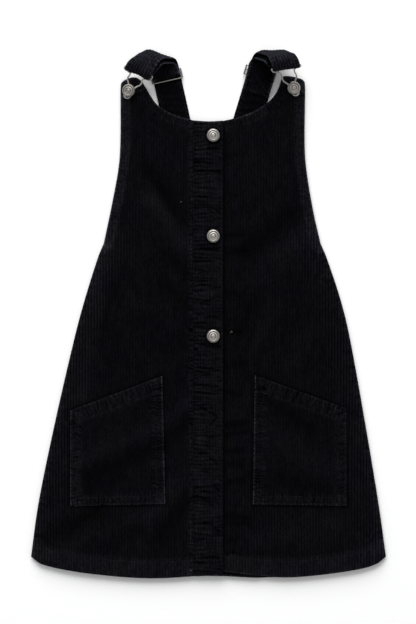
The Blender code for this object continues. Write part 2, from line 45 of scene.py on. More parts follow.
cloth = {
    "walePitch": 3.7,  # seven wales to the inch
    "waleDepth": 0.75,  # from the top of the pile down to the ground cloth
    "waleShape": 0.6,  # the less it is, the narrower the grooves between the wales
    "lying": 0.3,  # how deep they are where the pile lies flat, to their full depth
    "columns": 6,  # mesh columns to a wale
    "edgeRoll": 14.0,  # how far in from an edge a front reaches its full height
    "foldRadius": 1.5,  # how round a turned edge is
    "core": 0.55,  # what a pucker leaves of the wall, besides this share of the wales' depth
    "coreWales": 0.6,
    "wander": ((0.5, 95.0, 140.0), (0.3, 41.0, -60.0)),  # its waves' heights, and lengths along y and x
    "hemDepth": 20.0,
    "edgeStep": 1.2,  # between the points of an edge
    "lineStep": 6.0,  # the same where an edge is only measured from
    "rowStep": 1.25,  # between mesh rows where the cloth is puckered
    "sparse": 3,  # every so many rows are kept where it isn't
    "rings": (0.3, 0.9, 1.8),  # how far in the lines of points lie that follow a round edge
    "margin": 2.5,  # and where the columns start
    "plainStep": 12.0,  # the same three for the side that doesn't show
    "plainRings": (0.6,),
    "plainMargin": 6.0,
    "plainWale": 0.4,  # how it looks there, and how much less worn it is
    "plainWorn": 0.3,
    "stitchPitch": 3.0,
    "gap": 0.3,  # between pieces that touch
}

for item in list(bpy.context.selected_objects):
    item.select_set(False)


# Colours and nodes

def linear(hexColour):
    channels = [int(hexColour[i:i + 2], 16) / 255 for i in (1, 3, 5)]
    return [c / 12.92 if c <= 0.04045 else ((c + 0.055) / 1.055) ** 2.4 for c in channels] + [1.0]


def addNode(tree, kind, settings=None, values=None, links=None):
    node = tree.nodes.new(kind)
    for name, value in (settings or {}).items():
        setattr(node, name, value)
    for socket, value in (values or {}).items():
        node.inputs[socket].default_value = value
    for socket, output in (links or {}).items():
        tree.links.new(output, node.inputs[socket])
    return node


def newMaterial(name, values):
    material = bpy.data.materials.new(name)
    material.use_nodes = True
    shader = material.node_tree.nodes["Principled BSDF"]
    for socket, value in values.items():
        shader.inputs[socket].default_value = value
    return material, material.node_tree, shader


def mixColour(tree, factor, first, second):
    # first and second are hex colours or outputs
    links = {0: factor}
    values = {}
    for socket, colour in ((6, first), (7, second)):
        if isinstance(colour, str):
            values[socket] = linear(colour)
        else:
            links[socket] = colour
    return addNode(tree, "ShaderNodeMix", {"data_type": "RGBA"}, values, links).outputs[2]


def softNoise(tree, size, low, high, along=1.0, detail=2.0):
    # noise of a size in mm, whose low to high covers 0 to 1. An along under 1 draws it out along the wales
    place = addNode(tree, "ShaderNodeTexCoord").outputs["Object"]
    drawn = addNode(tree, "ShaderNodeMapping", values={"Scale": (1.0, along, 1.0)}, links={"Vector": place})
    noise = addNode(
        tree, "ShaderNodeTexNoise", values={"Scale": 1000 / size, "Detail": detail},
        links={"Vector": drawn.outputs[0]},
    )
    spread = addNode(
        tree, "ShaderNodeMapRange", values={"From Min": low, "From Max": high},
        links={"Value": noise.outputs["Fac"]},
    )
    return spread.outputs[0]


def addMath(tree, operation, *terms):
    node = addNode(tree, "ShaderNodeMath", {"operation": operation})
    for socket, term in zip(node.inputs, terms):
        if isinstance(term, float):
            socket.default_value = term
        else:
            tree.links.new(term, socket)
    return node.outputs[0]


corduroyLook = {
    # the ground cloth's own black, painted darker still as the shade down in the grooves between the wales
    "groundAndShade": "#050506",  # down between the wales
    "pile": "#13121a",  # the top of a wale
    "faded": "#111113",  # where the black has washed out unevenly
    "worn": "#393a43",  # rubbed seams and edges
    # noise: its size in mm, its low and high, how it is drawn out along the wales, and its detail
    "tufts": (0.5, 0.3, 0.7, 0.55, 2.0),
    "specks": (2.2, 0.3, 0.7, 0.5, 3.0),
    "crush": (6.5, 0.25, 0.75, 0.35, 3.0),
    "patches": (45.0, 0.34, 0.66, 1.0, 3.0),
    # what takes part in the rubbing and in the shade: a gain and a base
    "rubbingOfWale": (0.55, 0.45),
    "rubbingOfSpecks": (0.8, 0.6),
    "shadeOfNap": (1.5, 0.02),
    "shadeOfPatches": (0.24, 0.82),
    "shadeOfCrush": (0.55, 0.72),
    "shadeOfSpecks": (0.7, 0.65),
    "tuftHeight": 0.25,  # mm
}


def makeCorduroy():
    # Cotton corduroy, reactive dyed black and garment washed: its cut pile stands in ribs that
    # swallow light, and turns blue grey where the wash has rubbed the seams.
    look = corduroyLook
    material, tree, shader = newMaterial("cotton corduroy, garment washed", {
        "Roughness": 0.92,
        "Specular IOR Level": 0.012,
        "Sheen Weight": 0.012,
        "Sheen Roughness": 0.45,
        "Sheen Tint": linear("#c9ccd8"),
    })
    wale, worn, napAndShade = (
        addNode(tree, "ShaderNodeAttribute", {"attribute_name": name}).outputs["Fac"]
        for name in ("wale", "worn", "napAndShade")
    )
    tufts, specks, crush, patches = (
        softNoise(tree, *look[name]) for name in ("tufts", "specks", "crush", "patches")
    )
    pile = mixColour(tree, patches, look["pile"], look["faded"])
    body = mixColour(tree, wale, look["groundAndShade"], pile)
    rubbing = worn
    for part, share in ((wale, "rubbingOfWale"), (specks, "rubbingOfSpecks")):
        rubbing = addMath(tree, "MULTIPLY", rubbing, addMath(tree, "MULTIPLY_ADD", part, *look[share]))
    coloured = mixColour(tree, rubbing, body, look["worn"])
    # the nap value darkens or lightens the colour: the pile's own tone, together with painted shade in
    # troughs, grooves and creases and painted shadows beside raised parts
    shade = addMath(tree, "MULTIPLY_ADD", napAndShade, *look["shadeOfNap"])
    for part, share in ((patches, "shadeOfPatches"), (crush, "shadeOfCrush"), (specks, "shadeOfSpecks")):
        shade = addMath(tree, "MULTIPLY", shade, addMath(tree, "MULTIPLY_ADD", part, *look[share]))
    shaded = addNode(
        tree, "ShaderNodeVectorMath", {"operation": "SCALE"}, links={0: coloured, "Scale": shade}
    )
    tree.links.new(shaded.outputs[0], shader.inputs["Base Color"])
    bump = addNode(
        tree, "ShaderNodeBump", values={"Strength": 0.5, "Distance": look["tuftHeight"] * mm},
        links={"Height": tufts},
    )
    tree.links.new(bump.outputs[0], shader.inputs["Normal"])
    return material


nickelLook = {
    "bright": ("#d2cec9", "#b5b0aa"),
    "groove": "#45423f",
    "scuffs": (1.4, 0.35, 0.7, 1.0, 4.0),  # as the corduroy's noise
    "roughness": (0.42, 0.58),
}


def makeNickel():
    # Steel, antique nickel plated and tumbled: warm light grey on top, dull and darker in the grooves.
    look = nickelLook
    material, tree, shader = newMaterial("steel, antique nickel plated", {"Metallic": 1.0})
    groove = addNode(tree, "ShaderNodeAttribute", {"attribute_name": "groove"}).outputs["Fac"]
    scuffs = softNoise(tree, *look["scuffs"])
    bright = mixColour(tree, scuffs, *look["bright"])
    tree.links.new(mixColour(tree, groove, bright, look["groove"]), shader.inputs["Base Color"])
    low, high = look["roughness"]
    rough = addNode(
        tree, "ShaderNodeMapRange", values={"To Min": low, "To Max": high}, links={"Value": scuffs}
    )
    tree.links.new(rough.outputs[0], shader.inputs["Roughness"])
    return material


def makeSpeckled(name, values, noise, colours):
    # a material of two near colours, mixed by noise
    material, tree, shader = newMaterial(name, values)
    mixed = mixColour(tree, softNoise(tree, *noise), *colours)
    tree.links.new(mixed, shader.inputs["Base Color"])
    return material


corduroy = makeCorduroy()
# Core-spun polyester thread, black: two plies twisted, a little smoother than the cloth.
thread = makeSpeckled(
    "polyester thread, core spun", {"Roughness": 0.6, "Specular IOR Level": 0.15},
    (0.6, 0.35, 0.65), ("#0b0b0f", "#17171d"),
)
nickel = makeNickel()
# Cotton lint, undyed: pale loose fibre that the pile has picked up.
lint = makeSpeckled("cotton lint", {"Roughness": 0.9}, (0.5, 0.3, 0.7), ("#5d584d", "#7d7767"))
print("materials made")


# Curves, waves and distances, on numpy arrays

def smoothStep(t):
    t = np.clip(t, 0.0, 1.0)
    return t * t * (3 - 2 * t)


def fade(distance, width, start=0.0):
    # 1 up to the start, and 0 from the width past it
    return 1 - smoothStep((distance - start) / width)


def bell(distance, width):
    # 1 on a line, and next to nothing at twice the width
    return np.exp(-((distance / width) ** 2))


def roundTurn(distance, radius):
    # how high a turned edge is, from 0 to 1, at a distance in from it
    return np.sqrt(1 - (1 - np.clip(distance / radius, 0.0, 1.0)) ** 2)


def smoothPoint(before, start, end, after, t):
    # the point at t, from 0 to 1, between start and end on a smooth curve through all four
    return 0.5 * (
        2 * start + (end - before) * t
        + (2 * before - 5 * start + 4 * end - after) * t**2
        + (3 * start - before - 3 * end + after) * t**3
    )


def curveThrough(rows, step):
    # a smooth curve through the rows, its points about a step apart, both ends included
    rows = np.array(rows, float)
    padded = np.vstack([2 * rows[0] - rows[1], rows, 2 * rows[-1] - rows[-2]])
    points = []
    for before, start, end, after in zip(padded, padded[1:], padded[2:], padded[3:]):
        count = max(1, round(np.linalg.norm(end - start) / step))
        points += [smoothPoint(before, start, end, after, t) for t in np.arange(count) / count]
    return np.array([*points, rows[-1]])


def walkedAlong(rows):
    # how far along a line each of its rows is, by their first two columns
    return np.concatenate([[0.0], np.cumsum(np.hypot(np.diff(rows[:, 0]), np.diff(rows[:, 1])))])


def rowsAt(places, walked, rows):
    # the rows' columns at these places along the line
    return np.array([np.interp(places, walked, column) for column in rows.T])


def alongEdge(x, y, line):
    # how far each point is from the line, the line's height there, and how far along it that is
    away = np.full(x.shape, 1e9)
    low = np.zeros(x.shape)
    arc = np.zeros(x.shape)
    walked = 0.0
    for start, end in zip(line, line[1:]):
        across, up = end[:2] - start[:2]
        length = math.hypot(across, up)
        if length == 0.0:
            continue
        t = np.clip(((x - start[0]) * across + (y - start[1]) * up) / length**2, 0.0, 1.0)
        distance = np.hypot(x - start[0] - across * t, y - start[1] - up * t)
        closer = distance < away
        away[closer] = distance[closer]
        low[closer] = start[2] + (end[2] - start[2]) * t[closer]
        arc[closer] = walked + length * t[closer]
        walked += length
    return away, low, arc


def isInside(x, y, loop):
    inside = np.zeros(x.shape, bool)
    for start, end in zip(loop, np.roll(loop, -1, axis=0)):
        if start[1] == end[1]:
            continue
        spans = (start[1] > y) != (end[1] > y)
        cross = start[0] + (y - start[1]) * (end[0] - start[0]) / (end[1] - start[1])
        inside ^= spans & (x < cross)
    return inside


def unevenWave(arc, spacing, seed):
    # a wave from -1 to 1 whose crests are unevenly far apart and unevenly high
    chance = np.random.default_rng(seed)
    start = float(arc.min()) - 2 * spacing
    count = 2 * int((float(arc.max()) - start) / (0.6 * spacing)) + 8
    knots = start + np.cumsum(chance.uniform(0.3, 0.75, count)) * spacing
    heights = chance.uniform(0.3, 1.0, count) * np.tile([1.0, -1.0], count // 2)
    after = np.clip(np.searchsorted(knots, arc), 1, count - 1)
    t = smoothStep((arc - knots[after - 1]) / (knots[after] - knots[after - 1]))
    return heights[after - 1] * (1 - t) + heights[after] * t


def creaseHeight(x, y, creases):
    # each crease runs from (x1, y1) to (x2, y2), with its half width and its height
    total = np.zeros(x.shape)
    for x1, y1, x2, y2, width, height in creases:
        across, up = x2 - x1, y2 - y1
        length = math.hypot(across, up)
        along = ((x - x1) * across + (y - y1) * up) / length
        beside = ((x - x1) * up - (y - y1) * across) / length
        beyond = np.maximum(np.maximum(-along, along - length), 0.0)
        total += height * np.exp(-((beside / width) ** 2) - (beyond / width) ** 2)
    return total


def waleWander(x, y):
    # the wales aren't quite straight: the cloth has been washed and laid down by hand
    return sum(height * np.sin(y / alongY + x / alongX) for height, alongY, alongX in cloth["wander"])


# The cut of the cloth

# The largest soft folds of the fronts: a line, its half width and its height
folds = (
    (-76, 180, -34, 120, 12, -1.3),
    (-73, 142, -25, 79, 12, 1.8),
    (-52, 74, -24, 48, 10, -0.9),
    (-132, 64, -158, -104, 11, 1.6),
    (102, 124, 46, 76, 13, -1.3),
    (118, 96, 60, 40, 13, 1.4),
    (-153, -207, -76, -172, 12, -1.3),
    (-160, -184, -80, -150, 11, 1.2),
    (-56, -165, -22, -134, 11, -1.2),
    (-58, -140, -24, -112, 10, 1),
    (-212, -286, -138, -247, 12, -1.2),
    (-60, -280, -22, -228, 12, -1.3),
    (-76, -262, -40, -214, 12, 1),
    (70, -150, 150, -196, 16, 1.1),
    (60, -290, 150, -262, 18, 1.2),
    (70, -272, 190, -266, 34, -0.3),
)

# Finer creases between them
fineCreases = (
    (-86, 132, -58, 108, 5, -0.5),
    (-62, 158, -30, 96, 6, -0.5),
    (-60, 40, -26, 8, 7, -0.7),
    (-96, 20, -44, -22, 9, 0.7),
    (-72, -4, -30, -40, 7, -0.6),
    (-118, 30, -138, -40, 6, -0.6),
    (-140, -20, -166, -96, 6, -0.5),
    (-150, -222, -104, -205, 6, -0.6),
    (-128, -164, -96, -150, 6, -0.5),
    (-206, -262, -158, -240, 7, 0.6),
    (-186, -300, -140, -276, 7, 0.6),
    (-126, -296, -84, -270, 8, -0.6),
    (-100, -262, -66, -250, 6, 0.5),
    (72, 150, 44, 124, 7, -0.5),
    (96, 70, 62, 46, 7, -0.6),
    (58, 24, 40, -30, 9, -0.6),
    (84, 8, 60, -44, 9, 0.6),
    (130, -20, 96, -70, 10, 0.6),
    (74, -108, 128, -146, 8, -0.6),
    (88, -206, 150, -222, 8, -0.6),
    (40, -190, 56, -214, 7, -0.6),
    (166, -262, 200, -296, 9, 0.6),
    (52, -306, 96, -292, 8, -0.6),
)

# Ripples that the button band's sewing has pulled across the left front, beside the placket
ripples = (
    (24, -133, 44, -129, 2.6, 0.22),
    (22, -139.5, 48, -137, 3, -0.6),
    (22, -152, 50, -147, 3.4, -0.5),
    (22, -173, 42, -171, 3, -0.6),
    (24, -188, 40, -190, 3, -0.4),
    (22, -212, 44, -208, 3.2, -0.5),
    (22, -252, 48, -256, 3.2, -0.6),
    (22, -262, 52, -263, 3, -0.5),
    (22, -284, 46, -281, 3.2, -0.4),
    (22, -98, 42, -101, 3, -0.4),
    (22, -66, 46, -61, 3.6, -0.4),
    (22, -24, 40, -23, 2.4, -0.6),
    (22, 26, 42, 22, 3.2, -0.35),
    (22, 74, 46, 80, 3.6, -0.4),
    (22, 96, 42, 99, 2.6, -0.5),
    (22, 150, 40, 146, 3.2, -0.35),
    (22, 196, 44, 200, 3.4, -0.35),
    (20, -301, 31, -299, 1.8, -0.7),
    (31, -299, 44, -303, 1.8, -0.6),
)

pulledWidth = 5.0  # they start within this of the placket's free edge

# Creases of the placket between its puckers, where wash and sewing have pressed it
placketCreases = (
    (0.3, 206.3, 12, 206.3, 2.2, -0.4),
    (-18.4, 189.5, -12, 189.5, 1.8, -0.5),
    (-13.8, 178, 16, 178, 1.3, -0.5),
    (-12, 157, 8, 155.6, 1.4, -0.5),
    (-12, 145.8, -0.5, 145.8, 1.4, -0.5),
    (-12.8, 136.4, -1.2, 136.4, 1.5, -0.4),
    (4, 132, 12, 127, 1.5, -0.4),
    (-9, 82.5, 11.3, 80.1, 2.2, -0.5),
    (-19.5, 64.3, 2.8, 65.1, 1.4, -0.6),
    (-11.5, 50.8, 0.1, 51.8, 1.4, -0.5),
    (-11.5, 35.6, 14.4, 32.6, 1.5, -0.5),
    (-9.8, 13.3, 6.4, 18.6, 1.5, -0.5),
    (-12, -2, 10, -5, 1.5, -0.4),
    (-8.9, -39.4, 14.4, -42, 1.4, -0.6),
    (-20.5, -43.9, -15, -45.6, 1.8, -0.6),
    (-12.4, -67, 13.5, -71.5, 1.4, -0.6),
    (-12, -72.5, 2, -76, 1.2, -0.4),
    (-18.6, -88.5, 10.8, -91.8, 1.4, -0.7),
    (-16, -99.3, 10.8, -101, 1.4, -0.5),
    (-9.6, -117.5, 10.2, -127.9, 1.3, -0.6),
    (1.9, -139.4, 9.1, -131, 1.3, -0.5),
    (-12, -152, 10, -154, 1.4, -0.4),
    (1.9, -181, 9.1, -185.2, 1.5, -0.6),
    (-8.5, -195.6, -2.3, -197.7, 1.6, -0.5),
    (6, -214, 14, -222, 1.4, -0.4),
    (-10, -229, 6, -240, 1.4, -0.4),
    (-6.5, -262.3, 4, -264.4, 1.4, -0.5),
    (7.1, -268.5, 15.4, -273.8, 1.4, -0.5),
    (-19, -285, -6.5, -281, 1.6, -0.5),
    (-8.5, -302.9, 12.3, -305, 1.4, -0.5),
)

bodyMiddle = 6.9  # height of the fronts' middle surface, over the back and the air inside
underlapMiddle = 6.2  # where the left front passes under the placket
placketMiddle = 8.8
backMiddle = 1.0
frontButtons = {"button_top": 222.4, "button_middle": 96.6, "button_bottom": -28.3}
frontButton = {"x": 6.0, "shank": 0.8}
seamX = -19.05  # where the placket is sewn to the right front
freeX = 18.0  # its free edge


def closedEdges(edges, height=None):
    # each edge ends where the next one starts. A height that is given is that of every row
    starts = [rows[0] for rows in edges.values()]
    closed = {}
    for (name, rows), end in zip(edges.items(), [*starts[1:], starts[0]]):
        closed[name] = tuple(row if height is None else (*row[:2], height) for row in (*rows, end))
    return closed


# A piece's edges go round it anticlockwise, in rows of x, y and the height of the cloth's middle.
# An edge's finish is the stitch rows' distances from it, the spacing, depth and reach of its puckers,
# and how worn its band and its very edge are. Stands is how upright the pile is, and the nap value its base
# lightness, before painted shade is added.
turnedRows = (2.4, 9.5)
pocketRows = (2.4, 10.5)
hemRows = (cloth["hemDepth"],)
neckFinish = (turnedRows, 4.6, 0.5, 6.0, 0.04, 0.5)
bibFinish = (turnedRows, 4.6, 0.5, 6.0, 0.12, 0.45)
sideFinish = ((), 8.0, 0.45, 12.0, 0.05, 0.3)
rightFront = {
    "name": "front_right",
    "node": "front_panel_right",
    "stands": 0.36,
    "wall": 2.0,
    "seed": 11,
    "edges": closedEdges({
        "hem": (
            (-222, -304, 4), (-205.6, -314.4, 5.8), (-160.6, -323.6, 7),
            (-100.6, -329.8, 7), (-60, -330.8, 7),
        ),
        "placketSeam": ((seamX, -328.4, 7.2),),
        "neck": (
            (seamX, 241.3, bodyMiddle), (-44, 248.9, 6.2), (-64.4, 261.3, 5), (-77.8, 281.5, 3.4),
        ),
        "bib": ((-83.5, 290.9, 2.4), (-90.5, 295.2, 2.3), (-99.5, 294.6, 2.3), (-108.6, 289, 2.3)),
        "armhole": (
            (-110.1, 281, 2.3), (-110.3, 215, 2.3), (-113, 179.4, 2.4), (-122.3, 129.4, 3.2),
        ),
        "sideSeam": (
            (-131, 88, 3.3), (-139.4, 67, 3.3), (-155, 17, 3.3), (-168.3, -33, 3.3),
            (-191.4, -133, 3.3), (-212, -233, 3.3),
        ),
    }),
    "finish": {
        "hem": (hemRows, 9.0, 0.08, 7.0, 0.03, 0.1),
        "placketSeam": ((), 5.0, 0.7, 9.0, 0.06, 0.0),
        "neck": neckFinish,
        "bib": bibFinish,
        "armhole": (turnedRows, 4.4, 0.35, 5.0, 0.08, 0.65),
        "sideSeam": sideFinish,
    },
}

leftFront = {
    "name": "front_left",
    "node": "front_panel_left",
    "stands": 0.44,
    "wall": 2.0,
    "seed": 23,
    "rise": (24.0, 22.0),  # x where it starts to come up beside the placket, and over what width
    "edges": closedEdges({
        "hem": (
            (-8, -323.2, underlapMiddle), (20, -323.2, underlapMiddle), (50, -326.4, 6.8),
            (95, -329.9, 7), (139.4, -326.8, 7), (184.4, -320.4, 6.8), (209, -313.6, 5.6),
        ),
        "sideSeam": (
            (222, -304, 4), (212, -233, 3.3), (195.3, -133, 3.3), (177.3, -33, 3.3),
            (165.3, 17, 3.3), (148.8, 67, 3.3),
        ),
        "armhole": ((140.1, 88, 3.3), (130.8, 129.4, 3.2), (122.6, 179.4, 2.4), (120.3, 215, 2.3)),
        "bib": ((121, 282, 2.3), (119.6, 290.6, 2.3), (112, 294.8, 2.3), (101, 297, 2.3)),
        "neck": (
            (92.2, 296.6, 2.4), (86.1, 278.8, 3.4), (74, 264, 5), (50.4, 249.9, 6.2),
            (18.5, 240.9, underlapMiddle),
        ),
        "underlap": ((-8, 240, underlapMiddle),),
    }),
    "finish": {
        "hem": (hemRows, 9.0, 0.08, 7.0, 0.03, 0.35),
        "sideSeam": sideFinish,
        "armhole": (turnedRows, 4.4, 0.35, 5.0, 0.07, 0.6),
        "bib": bibFinish,
        "neck": neckFinish,
        "underlap": ((), 6.0, 0.3, 4.0, 0.0, 0.0),
    },
}

backArmhole = (turnedRows, 5.2, 0.4, 6.0, 0.4, 0.5)
backSeam = ((), 7.0, 0.3, 8.0, 0.1, 0.4)
backPanel = {
    "name": "back",
    "node": "back_panel",
    "stands": 1.0,
    "wall": 2.0,
    "seed": 37,
    "sparse": 16,  # the back lies flat, so its rows can be far apart
    "lifts": (  # but for its hem, where it shows past the front's, and its corners
        (6.0, -333.0, 60.0, -333.0, 8.0, 6.0),
        (-226.0, -306.0, -190.0, -322.0, 14.0, 0.9), (226.0, -306.0, 190.0, -322.0, 14.0, 0.9),
    ),
    "edges": closedEdges({  # its seams and most of its hem lie under the fronts'
        "hem": (
            *rightFront["edges"]["hem"][:5], (-3, -327.8), (72, -330.4),
            *leftFront["edges"]["hem"][4:-1],
        ),
        "seamLeft": leftFront["edges"]["sideSeam"][:-1],
        "armholeLeft": ((140.1, 88), (112, 117), (87, 156)),
        "neck": ((66, 204), (36, 201), (3, 199), (-30, 201)),
        "armholeRight": ((-60, 204), (-80, 156), (-104, 117)),
        "seamRight": rightFront["edges"]["sideSeam"][:-1],
    }, backMiddle),
    "finish": {
        "hem": (hemRows, 6.0, 0.4, 5.0, 0.05, 0.1),
        "seamLeft": backSeam,
        "armholeLeft": backArmhole,
        "neck": (turnedRows, 5.0, 0.4, 6.0, 0.4, 0.6),
        "armholeRight": backArmhole,
        "seamRight": backSeam,
    },
}

placket = {
    "name": "placket",
    "node": "placket",
    "napAndShade": 0.58,
    "stands": 0.42,
    "wall": 2.6,
    "seed": 41,
    "sparse": 1,
    "seamDrop": (1.8, 6.0),  # how far its sewn edge goes down to the front, and over what width
    "hemDrop": (1.0, 7.0),  # and its lower end, past the left front
    "edges": closedEdges({
        "hem": ((seamX, -328.4), (0, -327.8)),
        "freeEdge": ((freeX, -328.2),),
        "neck": ((freeX, 240.9), (0, 240)),
        "seam": ((seamX, 241.3),),
    }, placketMiddle),
    "finish": {
        "hem": ((), 6.0, 0.4, 4.0, 0.1, 0.3),
        "freeEdge": ((2.2,), 4.6, 0.6, 14.0, 0.02, 0.06),
        "neck": (turnedRows, 6.0, 0.4, 5.0, 0.05, 0.55),
        "seam": ((), 4.8, 1.0, 36.0, 0.02, 0.0),
    },
}

# A pocket's clearance is from the front's top to its own underside, and its wales don't meet the front's
pocketCut = {"wall": 1.8, "clearance": 0.6, "seamDrop": (1.0, 3.0)}
innerFinish = (pocketRows, 4.0, 0.7, 9.0, 0.02, 0.65)
openingFinish = ((16.5,), 5.2, 0.4, 4.0, 0.05, 0.14)
rightPocket = {
    "name": "pocket_right",
    "node": "pocket_right",
    "host": rightFront,
    "stands": 0.2,
    "wall": pocketCut["wall"],
    "seed": 53,
    "sparse": 2,
    "shift": 1.3,
    "edges": closedEdges({
        "outer": ((-172.8, -121.3),),
        "bottom": ((-172.8, -240.9),),
        "inner": ((-53.8, -237.9),),
        "opening": ((-57.6, -77.8),),
    }, 0.0),
    "finish": {
        "outer": (pocketRows, 4.0, 0.6, 6.0, 0.06, 0.4),
        "bottom": (pocketRows, 5.0, 0.45, 5.0, 0.05, 0.6),
        "inner": innerFinish,
        "opening": openingFinish,
    },
}
leftPocket = {
    "name": "pocket_left",
    "node": "pocket_left",
    "host": leftFront,
    "napAndShade": 0.44,
    "stands": 0.3,
    "wall": pocketCut["wall"],
    "seed": 67,
    "sparse": 2,
    "shift": -0.9,
    "edges": closedEdges({
        "inner": ((57.8, -77.1),),
        "bottom": ((55.3, -238.4),),
        "outer": ((172.3, -240.4),),
        "opening": ((172.3, -118.5),),
    }, 0.0),
    "finish": {
        "inner": innerFinish,
        "bottom": (pocketRows, 5.0, 0.45, 5.0, 0.05, 0.55),
        "outer": (pocketRows, 4.0, 0.6, 6.0, 0.05, 0.35),
        "opening": openingFinish,
    },
}


def edgesOf(cut, x, y):
    # what alongEdge says of every edge
    step = cloth["lineStep"]
    return {name: alongEdge(x, y, curveThrough(rows, step)) for name, rows in cut["edges"].items()}


def nearestOf(edges):
    return np.min([edge[0] for edge in edges.values()], axis=0)


def middleOf(cut, x, y, edges):
    # height of a piece's middle surface
    away, low, _ = (np.stack(column) for column in zip(*edges.values()))
    low = np.take_along_axis(low, away.argmin(axis=0)[None], 0)[0]
    distance = away.min(axis=0)
    if cut is rightFront or cut is leftFront:
        high = bodyMiddle + creaseHeight(x, y, folds) + creaseHeight(x, y, fineCreases)
        if cut is leftFront:
            start, width = cut["rise"]
            high = underlapMiddle + (high - underlapMiddle) * smoothStep((x - start) / width)
        return low + (high - low) * roundTurn(distance, cloth["edgeRoll"]), distance
    if cut is placket:
        for name in ("seam", "hem"):
            drop, width = cut[name + "Drop"]
            low = low - drop * fade(edges[name][0], width)
        return low, distance
    if "host" in cut:
        host = cut["host"]
        beneath, _ = middleOf(host, x, y, edgesOf(host, x, y))
        sewn = np.min([edges[name][0] for name in ("inner", "outer", "bottom")], axis=0)
        drop, width = pocketCut["seamDrop"]
        lifted = beneath + (host["wall"] + cut["wall"]) / 2 + pocketCut["clearance"]
        return lifted - drop * fade(sewn, width), distance
    return low + creaseHeight(x, y, cut["lifts"]), distance


# A pucker's line leans and drifts as it crosses its band, and other waves break it up
pucker = {
    "freeReach": 17.0,  # the more its band's reach is past this, the straighter it runs
    "lean": 0.3,
    "leanSpacing": 34.0,
    "drift": 0.4,
    "driftSpacing": 8.0,
    "closeShare": 0.85,  # of its wave, and of one that is wider
    "wideShare": 0.35,
    "wideSpacing": 2.6,
    "swing": 0.8,  # of the reach: how unevenly far in it ends
    "leastSwing": 9.0,
    "swingSpacing": 9.0,
    "breakSpacing": 20.0,
    "depthSpacing": 50.0,  # between stretches where puckers are deep
    "trough": (0.5, 0.75, 1.2),  # the depth that the waves give: a base, a gain and how sharp it is
    "broken": (0.85, 0.5, 0.3),  # what the breaks leave of that: a base, a gain and the least
    "deep": (0.8, 0.25),  # and the stretches: a base and a gain
}


def puckersAlong(away, arc, spacing, reach, seed):
    # how deep into a pucker each point is, from 0 to 1
    bend = min(1.0, pucker["freeReach"] / reach)
    line = arc + pucker["lean"] * bend * away * unevenWave(arc, pucker["leanSpacing"], seed)
    line += bend * unevenWave(away + pucker["drift"] * arc, pucker["driftSpacing"], seed + 5)
    close = unevenWave(line, spacing, seed + 1)
    wide = unevenWave(line, spacing * pucker["wideSpacing"], seed + 2)
    wave = pucker["closeShare"] * close + pucker["wideShare"] * wide
    # no pucker runs the whole way across, or ends where the next one does
    swing = max(pucker["leastSwing"], pucker["swing"] * reach)
    swung = away + swing * unevenWave(arc, pucker["swingSpacing"], seed + 3)
    broken = unevenWave(swung, pucker["breakSpacing"], seed + 4)
    base, gain, sharp = pucker["trough"]
    trough = np.clip(base - gain * wave, 0.0, 1.0) ** sharp
    base, gain, least = pucker["broken"]
    trough = trough * np.clip(base + gain * broken, least, 1.0)
    base, gain = pucker["deep"]
    return trough * (base + gain * unevenWave(arc, pucker["depthSpacing"], seed + 6))


# How the nap value is made lighter or darker. Much of it is painted shade: dark in troughs, grooves and
# creases and light on their ridges, with painted shadows beside the placket, the pockets and round the
# buttons
shade = {
    "usual": 0.5,
    # trough to placketCrease paint shade into pucker troughs, stitch grooves, ripples and creases, and light
    # onto their ridges
    "trough": 0.32,  # a pucker's trough is darker from here on, and its ridge lighter
    "stitchRow": 0.12,
    "ripple": 0.5,  # to a mm of height, as the next three
    "fold": 0.17,
    "fineCrease": 0.2,
    "placketCrease": 0.85,
    "front": (0.08, -20.0, 100.0),  # how much, the middle y of the stretch and its half width
    # underPlacket, roundButton and besidePocket are painted shadows of the placket, the buttons and the
    # pockets; placketSeam darkens the placket beside its seam
    "underPlacket": (0.3, 7.0),  # how much, and within what distance
    "placketSeam": (0.1, 9.0),
    "roundButton": (0.5, 9.0, 1.5),  # how much, the ring's radius and its half width
    "besidePocket": (0.35, 2.6),
    "sideSeam": 0.14,
}
turnedUp = {"hem": 0.2, "armhole": 0.17}  # where the cloth is turned in, its pile stands up again
wear = {
    "edge": (0.5, 0.9),  # how far in the rubbed line of an edge is, and its half width
    "ridge": 1.25,  # a pucker's ridge is rubbed more than its trough
    "trough": 0.9,
    "fullDepth": 0.4,  # a pucker this deep shows that in full
}
stitchGroove = {"depth": 0.35, "halfWidth": 0.8, "flattens": 0.5}
seamPile = {"stands": 0.98, "from": 14.0, "width": 28.0}  # beside a side seam the pile stands
hemPile = {"stands": 0.12, "from": 170.0, "width": 80.0}  # and a little more down towards the hem


